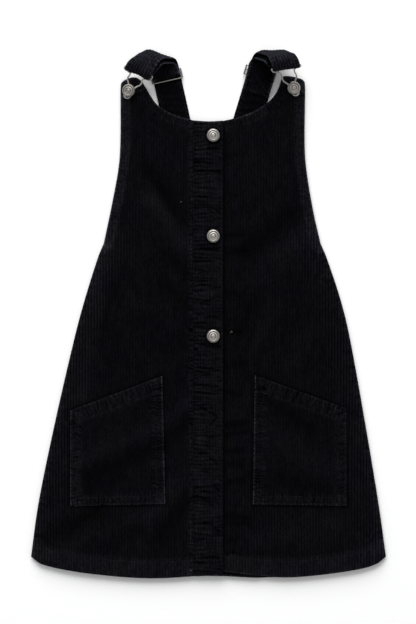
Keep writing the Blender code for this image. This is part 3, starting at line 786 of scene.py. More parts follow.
def surfaceOf(cut, x, y):
    # the piece's middle, the outward height of its finer form, its wales, its wear, and its nap with painted
    # shade in it
    edges = edgesOf(cut, x, y)
    middle, distance = middleOf(cut, x, y, edges)
    skin, worn, flattened = (np.zeros(x.shape) for _ in range(3))
    napAndShade = np.full(x.shape, cut.get("napAndShade", shade["usual"]))
    for number, (name, finish) in enumerate(cut["finish"].items()):
        rows, spacing, depth, reach, band, line = finish
        away, _, arc = edges[name]
        trough = puckersAlong(away, arc, spacing, reach, cut["seed"] + 7 * number)
        near = 1 - smoothStep((away - (rows[-1] if rows else 0.0)) / reach) ** 2
        skin -= depth * trough * near * smoothStep(away / cloth["foldRadius"])
        rubbed = wear["ridge"] - wear["trough"] * trough * min(1.0, depth / wear["fullDepth"])
        worn += band * near * rubbed + line * bell(away - wear["edge"][0], wear["edge"][1])
        # painted shade in a pucker's trough, and painted light on its ridge
        napAndShade -= near * depth * (trough - shade["trough"])
        if cut is not placket:
            napAndShade += turnedUp.get(name, 0.0) * near
        for row in rows:
            groove = bell(away - row, stitchGroove["halfWidth"])
            skin -= stitchGroove["depth"] * groove
            # painted shade in the stitch groove
            napAndShade -= shade["stitchRow"] * groove
            flattened = np.maximum(flattened, groove)
    host = cut.get("host", cut)
    if host is leftFront:
        pulled = creaseHeight(x, y, ripples) * smoothStep((x - freeX) / pulledWidth)
        if cut is host:
            skin += pulled
        # painted shade in the ripples' troughs
        napAndShade += shade["ripple"] * pulled
    if host is rightFront or host is leftFront:
        # painted shade in the troughs of the folds and creases, painted light on their ridges, and a darker
        # stretch across the front
        large, small = creaseHeight(x, y, folds), creaseHeight(x, y, fineCreases)
        darker, middleY, halfWidth = shade["front"]
        napAndShade += shade["fold"] * large + shade["fineCrease"] * small - darker * bell(y - middleY, halfWidth)
    if cut is leftFront:
        # a painted shadow of the placket's free edge on the left front
        darker, width = shade["underPlacket"]
        napAndShade -= darker * fade(x, width, freeX)
    if cut is placket:
        # it is darker beside its seam, painted shade lies in its creases, and a painted shadow rings each
        # button
        darker, width = shade["placketSeam"]
        napAndShade -= darker * fade(x, width, seamX)
        pressed = creaseHeight(x, y, placketCreases)
        skin += pressed
        napAndShade += shade["placketCrease"] * pressed
        darker, radius, halfWidth = shade["roundButton"]
        for buttonY in frontButtons.values():
            napAndShade -= darker * bell(np.hypot(x - frontButton["x"], y - buttonY) - radius, halfWidth)
    if cut is rightFront or cut is leftFront:
        # a painted shadow beside the pocket's edges
        pocket = rightPocket if cut is rightFront else leftPocket
        darker, halfWidth = shade["besidePocket"]
        napAndShade -= darker * bell(nearestOf(edgesOf(pocket, x, y)), halfWidth)
    # the pile is pressed flat but for the stretch beside a side seam, where it stands
    lower = smoothStep((-y - hemPile["from"]) / hemPile["width"])
    stands = cut["stands"] + hemPile["stands"] * lower * (cut is not placket)
    if "sideSeam" in edges:
        beside = fade(edges["sideSeam"][0], seamPile["width"], seamPile["from"])
        stands += (seamPile["stands"] - stands) * beside
        napAndShade += shade["sideSeam"] * beside
    place = x - cut.get("shift", 0.0)
    place = place - waleWander(place, y)
    wale = 0.5 + 0.5 * np.cos(2 * np.pi * place / cloth["walePitch"])
    ribs = -cloth["waleDepth"] * (1 - wale**cloth["waleShape"]) * (1 - stitchGroove["flattens"] * flattened)
    ribs = ribs * (cloth["lying"] + (1 - cloth["lying"]) * stands)
    roll = roundTurn(distance, cloth["foldRadius"])
    # no pucker is so deep that the grooves between the wales would come near the inner side
    skin = np.maximum(skin, cloth["core"] - cut["wall"] + cloth["waleDepth"] * cloth["coreWales"])
    return {
        "middle": middle,
        "skin": cut["wall"] / 2 * roll + skin * roll,
        "ribs": ribs * roll,
        "wale": 0.5 + (wale - 0.5) * stands,
        "worn": np.clip(worn, 0.0, 1.0),
        "napAndShade": np.clip(napAndShade, 0.0, 1.0),
        "roll": roll,
    }


# Meshes

def newPiece(name, points, faces, material, attributes=None):
    # points are in millimetres
    mesh = bpy.data.meshes.new(name)
    mesh.from_pydata((np.asarray(points) * mm).tolist(), [], faces)
    mesh.materials.append(material)
    for attribute, values in (attributes or {}).items():
        layer = mesh.attributes.new(attribute, "FLOAT", "POINT")
        layer.data.foreach_set("value", np.asarray(values, np.float32))
    mesh.shade_smooth()
    piece = bpy.data.objects.new(name, mesh)
    bpy.context.scene.collection.objects.link(piece)
    return piece


def outlineOf(cut, step):
    return np.vstack([curveThrough(rows, step)[:-1] for rows in cut["edges"].values()])


def leftNormals(loop):
    along = np.roll(loop, -1, axis=0)[:, :2] - np.roll(loop, 1, axis=0)[:, :2]
    along /= np.linalg.norm(along, axis=1)[:, None]
    return np.stack([-along[:, 1], along[:, 0]], axis=1)


def ringsInside(cut, border, steps):
    # lines of points that follow the edge, for its round turn
    measured = outlineOf(cut, cloth["lineStep"])
    found = []
    for step in steps:
        ring = border[:, :2] + leftNormals(border) * step
        x, y = ring[:, 0], ring[:, 1]
        distance = nearestOf(edgesOf(cut, x, y))
        found.append(ring[isInside(x, y, measured) & (distance > 0.9 * step)])
    return found


def latticeInside(cut, columnStep, rowStep, margin, sparse=1, busy=None):
    # columns follow the wales. Only every so many rows are kept where the cloth isn't busy
    measured = outlineOf(cut, cloth["lineStep"])
    (lowX, lowY, _), (highX, highY, _) = measured.min(axis=0), measured.max(axis=0)
    columns = np.arange(math.floor(lowX / columnStep), math.ceil(highX / columnStep) + 1) * columnStep
    rows = np.arange(math.floor(lowY / rowStep), math.ceil(highY / rowStep) + 1)
    place, row = (grid.ravel() for grid in np.meshgrid(columns, rows))
    y = row * rowStep
    x = place + cut.get("shift", 0.0) + waleWander(place, y)
    keep = isInside(x, y, measured)
    x, y, row = x[keep], y[keep], row[keep]
    edges = edgesOf(cut, x, y)
    wanted = row % sparse == 0
    if busy is not None:
        wanted |= busy(edges)
    keep = wanted & (nearestOf(edges) > margin)
    return np.stack([x[keep], y[keep]], axis=1)


def triangulated(border, inside):
    # triangles over the points within the border, and which point each border point became
    flat = [Vector(place) for place in np.vstack([border[:, :2], *inside]).tolist()]
    loop = list(range(len(border)))
    places, _, faces, origins, _, _ = delaunay_2d_cdt(flat, [], [loop], 1, 1e-5)
    where = {}
    for i, origin in enumerate(origins):
        for o in origin:
            where[o] = i
    return np.array([tuple(p) for p in places]), np.array(faces), np.array([where[i] for i in loop])


def sidesOf(cut, border, plainEdges, outer):
    # the outer side of a piece of cloth and its inner one, as triangles on one border
    pitch = cloth["walePitch"] / cloth["columns"]
    hemShown = cloth["hemDepth"] + 4.0

    def busy(edges):
        near = False
        for name, (rows, _, _, reach, _, _) in cut["finish"].items():
            if name not in plainEdges:
                near = near | (edges[name][0] < (rows[-1] if rows else 0.0) + reach)
        return near

    sparse = cut.get("sparse", cloth["sparse"])
    lattice = latticeInside(cut, pitch, cloth["rowStep"], cloth["margin"], sparse, busy)
    plain = [latticeInside(cut, cloth["plainStep"], cloth["plainStep"], cloth["plainMargin"])]
    if outer == -1:
        # inside the back only its turned-up hem shows, which has the wales outwards again
        hem = latticeInside(
            cut, pitch, 3 * cloth["rowStep"], cloth["margin"], 4, lambda edges: edges["hem"][0] < hemShown
        )
        plain.insert(0, hem[hemDistance(cut, hem[:, 0], hem[:, 1]) < hemShown])
    return (
        triangulated(border, [*ringsInside(cut, border, cloth["rings"]), lattice]),
        triangulated(border, [*ringsInside(cut, border, cloth["plainRings"]), *plain]),
    )


def hemDistance(cut, x, y):
    return alongEdge(x, y, curveThrough(cut["edges"]["hem"], cloth["lineStep"]))[0]


def makeCloth(cut, plainEdges, outer=1):
    # A closed shell of cloth. Its outer side, the top one unless outer is -1, has the wales, and its
    # rows are close together beside all edges but the plain ones
    sides = sidesOf(cut, outlineOf(cut, cloth["edgeStep"]), plainEdges, outer)
    points, faces = [], []
    attributes = {"wale": [], "worn": [], "napAndShade": []}
    for number, (places, triangles, loop) in enumerate(sides):
        x, y = places[:, 0], places[:, 1]
        surface = surfaceOf(cut, x, y)
        keep = np.ones(len(x), bool)
        if number == 0:
            height = surface["middle"] + outer * (surface["skin"] + surface["ribs"])
            index = np.arange(len(x))
            start = loop
        else:
            thick = cut["wall"] / 2 * surface["roll"]
            plain = {
                "wale": np.full(x.shape, cloth["plainWale"]), "worn": surface["worn"] * cloth["plainWorn"],
            }
            if outer == -1:
                hem = surface["roll"] * (hemDistance(cut, x, y) < cloth["hemDepth"])
                thick = thick + surface["ribs"] * hem
                plain = {name: np.where(hem > 0, surface[name], values) for name, values in plain.items()}
            surface |= plain | {"napAndShade": np.full(x.shape, shade["usual"])}
            height = surface["middle"] - outer * thick
            # the border's points are those of the outer side
            keep[loop] = False
            index = np.cumsum(keep) - 1 + len(sides[0][0])
            index[loop] = start
        points.append(np.stack([x, y, height], axis=1)[keep])
        for name, values in attributes.items():
            values.append(surface[name][keep])
        triangles = index[triangles]
        up = (number == 0) == (outer == 1)
        faces += (triangles if up else triangles[:, ::-1]).tolist()
    attributes = {name: np.concatenate(values) for name, values in attributes.items()}
    piece = newPiece("corduroy_" + cut["name"], np.vstack(points), faces, corduroy, attributes)
    loop = outlineOf(cut, cloth["lineStep"])
    after = np.roll(loop, -1, axis=0)
    area = abs(np.sum(loop[:, 0] * after[:, 1] - after[:, 0] * loop[:, 1])) / 2 * mm * mm
    size = (loop.max(axis=0) - loop.min(axis=0))[:2] * mm
    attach(piece, "root")
    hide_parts(cut["node"])
    return piece, tuple(float(side) for side in size), float(area)


# Stitches

stitch = {
    "length": 2.3,
    "radius": 0.27,
    "sides": 5,
    "arch": 0.22,  # how far its ends dip
    "tip": 0.55,  # how thick they are, to its middle
    "above": 0.04,  # how far it stands above the groove
    "slack": 0.3,  # how much nearer to its edge than its row it may be
    "clear": 1.2,  # of an edge that has no rows
}


def stitchShape():
    # one stitch lying along x: a short thread that dips at both ends
    bpy.ops.mesh.primitive_cylinder_add(
        vertices=stitch["sides"], radius=stitch["radius"], depth=stitch["length"],
        rotation=(0.0, math.pi / 2, 0.0),
    )
    bpy.ops.object.transform_apply(location=True, rotation=True, scale=True)
    pattern = bpy.context.object
    bpy.ops.object.mode_set(mode="EDIT")
    for place in (-0.25, 0.25):
        bpy.ops.mesh.select_all(action="SELECT")
        bpy.ops.mesh.bisect(plane_co=(place * stitch["length"], 0.0, 0.0), plane_no=(1.0, 0.0, 0.0))
    bpy.ops.object.mode_set(mode="OBJECT")
    points = np.array([tuple(v.co) for v in pattern.data.vertices])
    along = points[:, 0] / (stitch["length"] / 2)
    points[:, 1:] *= (1 - (1 - stitch["tip"]) * along**4)[:, None]
    points[:, 2] -= stitch["arch"] * along**2
    faces = [tuple(face.vertices) for face in pattern.data.polygons]
    bpy.data.objects.remove(pattern, do_unlink=True)
    return points, faces


stitchPoints, stitchFaces = stitchShape()


def makeStitches(name, centres, along, up):
    # one joined mesh of stitches: their centres, directions and the cloth's normals there
    along = along / np.linalg.norm(along, axis=1)[:, None]
    side = np.cross(up, along)
    side /= np.linalg.norm(side, axis=1)[:, None]
    up = np.cross(along, side)
    frames = np.stack([along, side, up], axis=1)
    points = np.einsum("pk,nkc->npc", stitchPoints, frames) + centres[:, None, :]
    count = len(stitchPoints)
    faces = [tuple(i + n * count for i in face) for n in range(len(centres)) for face in stitchFaces]
    piece = newPiece(name, points.reshape(-1, 3), faces, thread)
    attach(piece, "root")
    return piece


def sewCloth(cut):
    # stitches along every stitch row of the piece
    outline = outlineOf(cut, cloth["lineStep"])
    centres, directions = [], []
    for name, (rows, *_) in cut["finish"].items():
        line = curveThrough(cut["edges"][name], 1.0)
        walked = walkedAlong(line)
        places = np.arange(0.5 * cloth["stitchPitch"], walked[-1], cloth["stitchPitch"])
        x, y, _ = rowsAt(places, walked, line)
        ahead = (rowsAt(places + 0.6, walked, line) - rowsAt(places - 0.6, walked, line))[:2].T
        ahead = ahead / np.linalg.norm(ahead, axis=1)[:, None]
        for row in rows:
            spots = np.stack([x - ahead[:, 1] * row, y + ahead[:, 0] * row], axis=1)
            edges = edgesOf(cut, spots[:, 0], spots[:, 1])
            # a row ends where it meets another edge's row or the piece's outline
            clear = isInside(spots[:, 0], spots[:, 1], outline)
            clear &= edges[name][0] > row - stitch["slack"]
            for other, (otherRows, *_) in cut["finish"].items():
                if other != name:
                    clear &= edges[other][0] > (min(otherRows) if otherRows else stitch["clear"])
            centres.append(spots[clear])
            directions.append(ahead[clear])
    spots, ahead = np.vstack(centres), np.vstack(directions)
    heights = []
    for reach in (-1.0, 0.0, 1.0):
        end = spots + ahead * reach
        surface = surfaceOf(cut, end[:, 0], end[:, 1])
        heights.append(surface["middle"] + surface["skin"])
    rise = (heights[2] - heights[0]) / 2.0
    middle = sum(heights) / 3 + stitch["above"]
    makeStitches(
        "stitching_" + cut["name"], np.column_stack([spots, middle]), np.column_stack([ahead, rise]),
        np.tile([0.0, 0.0, 1.0], (len(spots), 1)),
    )


for cut, plainEdges, under in (
    (rightFront, (), "corduroy_back"),
    (leftFront, ("underlap",), "corduroy_back"),
    (placket, (), "corduroy_front_left"),
    (rightPocket, (), "corduroy_front_right"),
    (leftPocket, (), "corduroy_front_left"),
):
    piece, size, area = makeCloth(cut, plainEdges)
    sewCloth(cut)
    print(cut["name"], "made:", len(piece.data.polygons), "faces")

piece, size, area = makeCloth(backPanel, (), outer=-1)
print("back made:", len(piece.data.polygons), "faces")


# Straps

# A strap's middle at y, where its slide's row is, how far it leans outward, its length back to the
# seam and on to the buckle's bar, and where the slide's middle bar lies. The bends say how far along
# it a bend starts, how far its line is from square, its radius and its turn. Sags and slack are
# where it gives way: x, y, how wide, and by how much in x and y. Slack is what hangs past the
# buckle's bar, so the buckle's own place goes without it. All are for the wearer's right side, and
# the left is mirrored.
straps = {
    "right": {
        "x": -51.7, "y": 293.4, "lean": 12.5, "back": 116.0, "bar": 95.6, "slider": 3.5,
        "aside": 0.0,  # how far the slide sits out of the strap's middle
        "bends": ((19.3, 28.0, 9.2, 104.0), (55.0, 16.2, 12.5, 151.0)),
        "sags": ((-91.0, 326.0, 12.0, 2.2, -4.6), (-72.0, 328.5, 11.0, 0.0, 2.4)),
        "slack": ((-97.0, 303.5, 11.0, -1.0, -2.8), (-76.0, 298.5, 9.0, -1.0, -4.2)),
        "slip": 1.0,  # how far the buckle has slid in the strap's fold
        "neck": -1.0,  # how much nearer to the bar the wire's narrow neck is
        # painted shade: the nap of its face inside the curl, and of the stretch that comes back from the
        # buckle
        "riseShade": 0.47,  # of its face that is inside the curl
        "returnShade": 0.34,  # and of the stretch that comes back from the buckle
        "drift": 3.2,  # how far the under layer shows past the upper one
        "seed": 71,
    },
    "left": {
        "x": 65.2, "y": 297.0, "lean": 16.8, "back": 121.0, "bar": 100.7, "slider": 2.5,
        "aside": 1.8,
        "overBar": 9.5,  # its end lies over the slide's lower bar
        "bends": ((18.6, 22.5, 11.4, 106.0), (67.4, 12.7, 9.1, 160.0)),
        "sags": (
            (-108.0, 325.5, 12.0, 0.8, -1.8), (-57.9, 326.2, 10.0, -0.6, -1.6),
            (-65.6, 328.4, 9.0, 0.0, 2.4),
        ),
        "slack": ((-110.0, 303.5, 11.0, 0.0, -0.6),),
        "slip": 0.6,
        "neck": 2.0,
        # painted shade inside the curl and on the stretch that comes back
        "riseShade": 0.38,
        "returnShade": 0.16,
        "drift": 5.4,
        "seed": 83,
    },
}
ribbon = {
    "width": 35.0,
    "wall": 2.6,
    "waleDepth": 0.6,
    "edgeRadius": 1.3,
    "lift": 2.3,  # where a strap lies on the back
    "ramp": (208.0, 224.0),  # y between which it comes down off the back
    "foldRadius": 2.65,  # round the buckle's bar
    "hookRadius": 2.6,  # round the slide's middle bar
    "hookShift": 0.25,
    "tail": 16.0,
    "thinEnd": 0.15,  # half of its thickness at the end of a tail
    "swell": 0.5,  # how far the folded layers stand apart, besides the fold
    "flatStep": 2.4,
    "curlStep": 1.3,
    "seam": 3.4,  # stitch rows from the edges
    "edgeColumns": (0.0, 0.25, 0.8),  # how far in the mesh columns by an edge are
    "firstColumn": 2.0,  # and where the even ones start
    "puckerSpacing": 5.5,
    "puckerLean": 0.2,
    "puckerSharp": 1.5,
    "puckerDepth": 0.4,
    "puckerReach": 5.0,
    "grooveDepth": 0.3,
    "rippleSpacing": 8.0,
    "rippleLean": 0.25,
    "rippleBase": 0.2,
    "rippleMiddle": (0.6, 0.4, 9.0),  # deeper in the strap's middle: a base, a gain and how wide
    "rippleEnd": (12.0, 10.0),  # they end this far on in the curl, over this width
    "rippleDepth": 0.35,
    "curlNap": 0.66,  # of the face that is outside in the curl, which is more worn too
    "curlWorn": 0.2,
    # painted shade where the tail lies on the strap's rise
    "endShade": 0.34,
    "endStretch": (24.0, 20.0),  # from how far before its end it has that, and how far it takes
    "foldedFrom": 4.0,  # how far past the buckle's bar the stretch that comes back starts
    "bandWorn": (0.22, 0.2),  # by an edge, and how much less in a pucker's trough
    "edgeWorn": (0.6, 0.3, 0.8),  # how worn its very edge is, how far in and its half width
    # a painted highlight along the edges of the stretch that comes back, put in as wear and as lighter nap
    "foldedHighlightWorn": (0.8, 2.0),  # how much more in the stretch that comes back, and its half width
    "foldedHighlightNap": (0.4, 3.2),  # and how much lighter
    # painted shade in the puckers' troughs and in the ripples
    "troughShade": 0.5,
    "rippleShade": 0.3,
    "pressedTo": 30.0,  # how far on in the curl its inner face is pressed flat
    "pressedWale": 0.45,
    "driftFrom": 8.0,  # how far past the bar its layers start to part, and how far before its end
    "driftTo": 18.0,
    "driftShape": 0.45,
    "narrowed": (0.05, 8.0),  # how much its edges give way to the buckle, and how far from its bar
    "foldRows": 12,  # mesh rows round the buckle's bar, in a tail and round the slide's middle bar
    "tailRows": 8,
    "hookRows": 6,
    "stitchSink": 0.42,  # how far the stitches are sunk in the pile
}


def strapPlaces(side, s, t, offset, slack=True):
    # where points of a strap go: s along it, t across it, offset inward of the curl
    strap = straps[side]
    sags = strap["sags"] + (strap["slack"] if slack else ())
    place = np.stack([s, t, offset], axis=1)
    for start, skew, radius, turn in reversed(strap["bends"]):
        cosine, sine = math.cos(math.radians(skew)), math.sin(math.radians(skew))
        square, line = np.array([cosine, sine, 0.0]), np.array([-sine, cosine, 0.0])
        reach = (s - start) * cosine + t * sine
        rolled = np.clip(reach, 0.0, radius * math.radians(turn))
        angle = rolled / radius
        local = place - np.array([start, 0.0, 0.0])
        ahead, up = local @ square - rolled, local[:, 2]
        forward = radius * np.sin(angle) + ahead * np.cos(angle) - up * np.sin(angle)
        height = radius * (1 - np.cos(angle)) + ahead * np.sin(angle) + up * np.cos(angle)
        place = forward[:, None] * square + (local @ line)[:, None] * line
        place[:, 0] += start
        place[:, 2] = height
    lean = math.radians(strap["lean"])
    mirror = 1.0 if side == "right" else -1.0
    x = mirror * strap["x"] - math.sin(lean) * place[:, 0] + math.cos(lean) * place[:, 1]
    y = strap["y"] + math.cos(lean) * place[:, 0] + math.sin(lean) * place[:, 1]
    low, high = ribbon["ramp"]
    z = place[:, 2] + ribbon["wall"] / 2 + ribbon["lift"] * fade(y, high - low, low)
    moved = np.stack([x, y, z], axis=1)
    for sagX, sagY, radius, moveX, moveY in sags:
        share = np.exp(-((x - sagX) ** 2 + (y - sagY) ** 2) / radius**2)
        moved += share[:, None] * np.array([moveX, moveY, 0.0])
    return moved * np.array([mirror, 1.0, 1.0])


def strapRows(side):
    # the strap's middle line as rows of distance, offset and heading: up, round the bar and back
    strap = straps[side]
    bend, hook = ribbon["foldRadius"], strap["slider"] - ribbon["hookShift"] - strap.get("overBar", 0.0)

    def run(start, end, step, offset, heading):
        count = max(1, round(abs(end - start) / step))
        return [(start + (end - start) * i / count, offset, heading) for i in range(count)]

    rows = run(-strap["back"], 0.0, ribbon["flatStep"], 0.0, 0.0)
    rows += run(0.0, strap["bar"], ribbon["curlStep"], 0.0, 0.0)
    for i in range(ribbon["foldRows"]):
        turn = math.pi * i / ribbon["foldRows"]
        rows.append((strap["bar"] + bend * math.sin(turn), bend * (1 - math.cos(turn)), turn))
    back = run(strap["bar"], hook, ribbon["curlStep"], 2 * bend, math.pi)
    for i, (place, offset, heading) in enumerate(back):
        rows.append((place, offset + ribbon["swell"] * math.sin(math.pi * i / len(back)), heading))
    if "overBar" in strap:
        # thinned at its end, it comes down on the strap beyond the lower bar
        drop = 2 * bend - ribbon["wall"] / 2 - cloth["gap"] - ribbon["thinEnd"]
        for i in range(ribbon["tailRows"] + 1):
            t = i / ribbon["tailRows"]
            slope = drop * 6 * t * (1 - t) / ribbon["tail"]
            rows.append((
                hook - ribbon["tail"] * t, 2 * bend - drop * float(smoothStep(t)), math.pi + math.atan(slope),
            ))
        return rows
    hookRadius = ribbon["hookRadius"]
    for i in range(ribbon["hookRows"] + 1):
        turn = math.pi / 2 * i / ribbon["hookRows"]
        rows.append((
            hook - hookRadius * math.sin(turn), 2 * bend - hookRadius * (1 - math.cos(turn)), math.pi + turn,
        ))
    rows.append((hook - hookRadius, ribbon["wall"] / 2 + cloth["gap"], math.pi * 1.5))
    return rows


def tubeFaces(rows, sides):
    # faces of a closed tube whose points are rows of so many each
    faces = []
    for i in range(rows - 1):
        for j in range(sides):
            k = (j + 1) % sides
            faces.append((i * sides + j, i * sides + k, (i + 1) * sides + k, (i + 1) * sides + j))
    faces.append(tuple(range(sides))[::-1])
    faces.append(tuple((rows - 1) * sides + j for j in range(sides)))
    return faces


def makeStrap(side):
    strap = straps[side]
    half = ribbon["width"] / 2
    pitch = cloth["walePitch"]
    pastLast = half - ribbon["firstColumn"] + 0.1
    inner = np.arange(-half + ribbon["firstColumn"], pastLast, pitch / cloth["columns"])
    outer = np.array(ribbon["edgeColumns"])
    columns = np.concatenate([outer - half, inner, (half - outer)[::-1]])
    rows = np.array(strapRows(side))
    walked = walkedAlong(rows)
    ring = np.concatenate([columns, columns[-2:0:-1]])
    face = np.concatenate([np.ones(len(columns)), -np.ones(len(columns) - 2)])
    size = len(ring)
    t, arc, sign = np.tile(ring, len(rows)), np.repeat(walked, size), np.tile(face, len(rows))
    s, offset, heading = (np.repeat(rows[:, i], size) for i in range(3))
    edge = half - np.abs(t)
    wale = 0.5 + 0.5 * np.cos(2 * np.pi * t / pitch)
    # each edge has its own puckers
    line = arc + ribbon["puckerLean"] * edge
    waves = [unevenWave(line, ribbon["puckerSpacing"], strap["seed"] + i) for i in (0, 1)]
    trough = np.clip(0.5 - 0.5 * np.where(t > 0, *waves), 0.0, 1.0) ** ribbon["puckerSharp"]
    near = fade(edge, ribbon["puckerReach"], ribbon["seam"])
    groove = bell(edge - ribbon["seam"], stitchGroove["halfWidth"])
    # the face that shows of the stretch that comes up from the back is rippled across
    wave = unevenWave(arc + ribbon["rippleLean"] * t, ribbon["rippleSpacing"], strap["seed"] + 2)
    base, gain, width = ribbon["rippleMiddle"]
    ripple = np.clip(ribbon["rippleBase"] - wave, 0.0, 1.0) * (base + gain * np.cos(t / width))
    end, width = ribbon["rippleEnd"]
    ripple = ripple * (sign > 0) * fade(arc - strap["back"], width, end)
    thick = ribbon["wall"] / 2 - ribbon["puckerDepth"] * trough * near - ribbon["grooveDepth"] * groove
    thick = thick - ribbon["rippleDepth"] * ripple
    ribs = ribbon["waleDepth"] * (1 - wale**cloth["waleShape"])
    thick = thick - ribs * (1 - stitchGroove["flattens"] * groove)
    thick = thick * roundTurn(edge, ribbon["edgeRadius"])
    if "overBar" in strap:
        thinned = smoothStep((arc - walked[-1] + ribbon["tail"]) / ribbon["tail"])
        thick = thick * (1 - (1 - 2 * ribbon["thinEnd"] / ribbon["wall"]) * thinned)
    # its edges are worn, and along the edges of the stretch that comes back from the buckle a painted
    # highlight is added
    folded = arc > strap["back"] + strap["bar"] + ribbon["foldedFrom"]
    band, inTrough = ribbon["bandWorn"]
    share, place, width = ribbon["edgeWorn"]
    worn = near * (band - inTrough * trough) + share * bell(edge - place, width)
    share, width = ribbon["foldedHighlightWorn"]
    worn = worn + np.where(sign > 0, 0.0, ribbon["curlWorn"]) + share * folded * bell(edge, width)
    # painted shade on the face inside the curl and on the stretch that comes back from the buckle
    before, width = ribbon["endStretch"]
    late = smoothStep((arc - walked[-1] + before) / width)
    returned = strap["returnShade"] * (1 - late) + ribbon["endShade"] * late
    napAndShade = np.where(folded, returned, np.where(sign > 0, strap["riseShade"], ribbon["curlNap"]))
    lighter, width = ribbon["foldedHighlightNap"]
    # painted shade in the puckers' troughs and the ripples, and a painted highlight along the folded
    # stretch's edges
    napAndShade = napAndShade - ribbon["troughShade"] * trough * near - ribbon["rippleShade"] * ripple
    napAndShade = napAndShade + lighter * folded * bell(edge, width)
    # pile inside the curl, and in the stretch that comes back, is pressed flat
    pressed = (sign > 0) & (arc < strap["back"] + ribbon["pressedTo"]) | folded
    wale = np.where(pressed, 0.5 + ribbon["pressedWale"] * (wale - 0.5), wale)
    # its edges give way to the buckle, and its under layer lies a little aside
    share, width = ribbon["narrowed"]
    across = t * (1 - share * bell(s - strap["bar"], width))
    start = strap["back"] + strap["bar"] + ribbon["driftFrom"]
    along = np.clip((arc - start) / (walked[-1] - start - ribbon["driftTo"]), 0.0, 1.0)
    across = across + strap["drift"] * np.sin(np.pi * along ** ribbon["driftShape"])
    places = strapPlaces(
        side, s - np.sin(heading) * thick * sign, across, offset + np.cos(heading) * thick * sign
    )
    faces = tubeFaces(len(rows), size)
    if side == "right":
        faces = [face[::-1] for face in faces]
    piece = newPiece("corduroy_strap_" + side, places, faces, corduroy, {
        "wale": wale, "worn": np.clip(worn, 0.0, 1.0), "napAndShade": np.clip(napAndShade, 0.0, 1.0),
    })
    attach(piece, "root")
    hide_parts("strap_" + side)
    sewStrap(side, rows, walked)
    print("strap", side, "made:", len(piece.data.polygons), "faces")


def sewStrap(side, rows, walked):
    # two rows of stitches on both faces
    places = np.arange(2.0, walked[-1] - 6.0, cloth["stitchPitch"])
    here, ahead, behind = (rowsAt(places + step, walked, rows) for step in (0.0, 0.8, -0.8))
    centres, along, up = [], [], []

    def onFace(row, across, thick):
        s, offset, heading = row
        return strapPlaces(side, s - np.sin(heading) * thick, across, offset + np.cos(heading) * thick)

    for sign in (1.0, -1.0):
        thick = ribbon["wall"] / 2 - ribbon["stitchSink"]
        for t in (-1.0, 1.0):
            across = np.full(places.shape, t * (ribbon["width"] / 2 - ribbon["seam"]))
            centre = onFace(here, across, sign * thick)
            centres.append(centre)
            along.append(onFace(ahead, across, sign * thick) - onFace(behind, across, sign * thick))
            up.append(onFace(here, across, sign * (thick + 1.0)) - centre)
    makeStitches("stitching_strap_" + side, np.vstack(centres), np.vstack(along), np.vstack(up))


for side in straps:
    makeStrap(side)


# Metal

def settle(piece, name, node, groove=0.0):
    # the finished piece: its place in its mesh, its name, finish, node and how dull it is
    bpy.ops.object.transform_apply(location=True, rotation=True, scale=True)
    piece.name = piece.data.name = name
    piece.data.materials.clear()
    piece.data.materials.append(nickel)
    piece.data.shade_smooth()
    values = np.zeros(len(piece.data.vertices), np.float32) + np.asarray(groove, np.float32)
    piece.data.attributes.new("groove", "FLOAT", "POINT").data.foreach_set("value", values)
    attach(piece, "root")
    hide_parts(node)
    piece.select_set(False)


def selectFaces(piece, chosen):
    # selects the faces that the test picks, in edit mode
    bpy.ops.mesh.select_all(action="DESELECT")
    bpy.ops.object.mode_set(mode="OBJECT")
    for face in piece.data.polygons:
        face.select = chosen(face)
    bpy.ops.object.mode_set(mode="EDIT")


tackButton = {
    "radius": 8.2,
    "round": 0.25,  # how far its side stands out
    "rim": 0.6,  # height of the cap's straight side
    "turnedIn": 1.4,  # width of the rim's turned edge underneath
    "hollow": 0.3,  # how far the disc inside that edge comes down
    "shank": 2.3,
    "segments": 64,
    # going inward over the cap: how far in, and how far up or down
    "rings": (
        (0.25, 0.75), (0.45, 0.55), (0.6, 0.25), (0.7, 0.02), (0.55, -0.35), (0.35, -0.1),
        (0.5, 0.1), (0.6, 0.3), (0.5, 0.05), (0.45, -0.3), (0.35, -0.1), (0.5, 0.1), (0.45, 0.28),
        (0.45, 0.06), (0.4, -0.18), (0.35, 0.2), (0.4, 0.12),
    ),
    # where the plating is dull: the ring's radius, its half width and how dull
    "rubbed": ((8.1, 0.45, 0.75), (5.9, 0.8, 1.0), (3.0, 0.7, 1.0), (0.0, 1.3, 0.6)),
    "dull": 0.3,  # and how dull it is all over
    "dullBelow": 0.7,
}
bibButtons = {
    "right": {"x": -99.6, "y": 278.1, "tilt": -13.0, "shank": 4.8, "dull": 0.55},
    "left": {"x": 106.6, "y": 281.5, "tilt": 4.0, "shank": 3.0, "dull": 0.36},
}


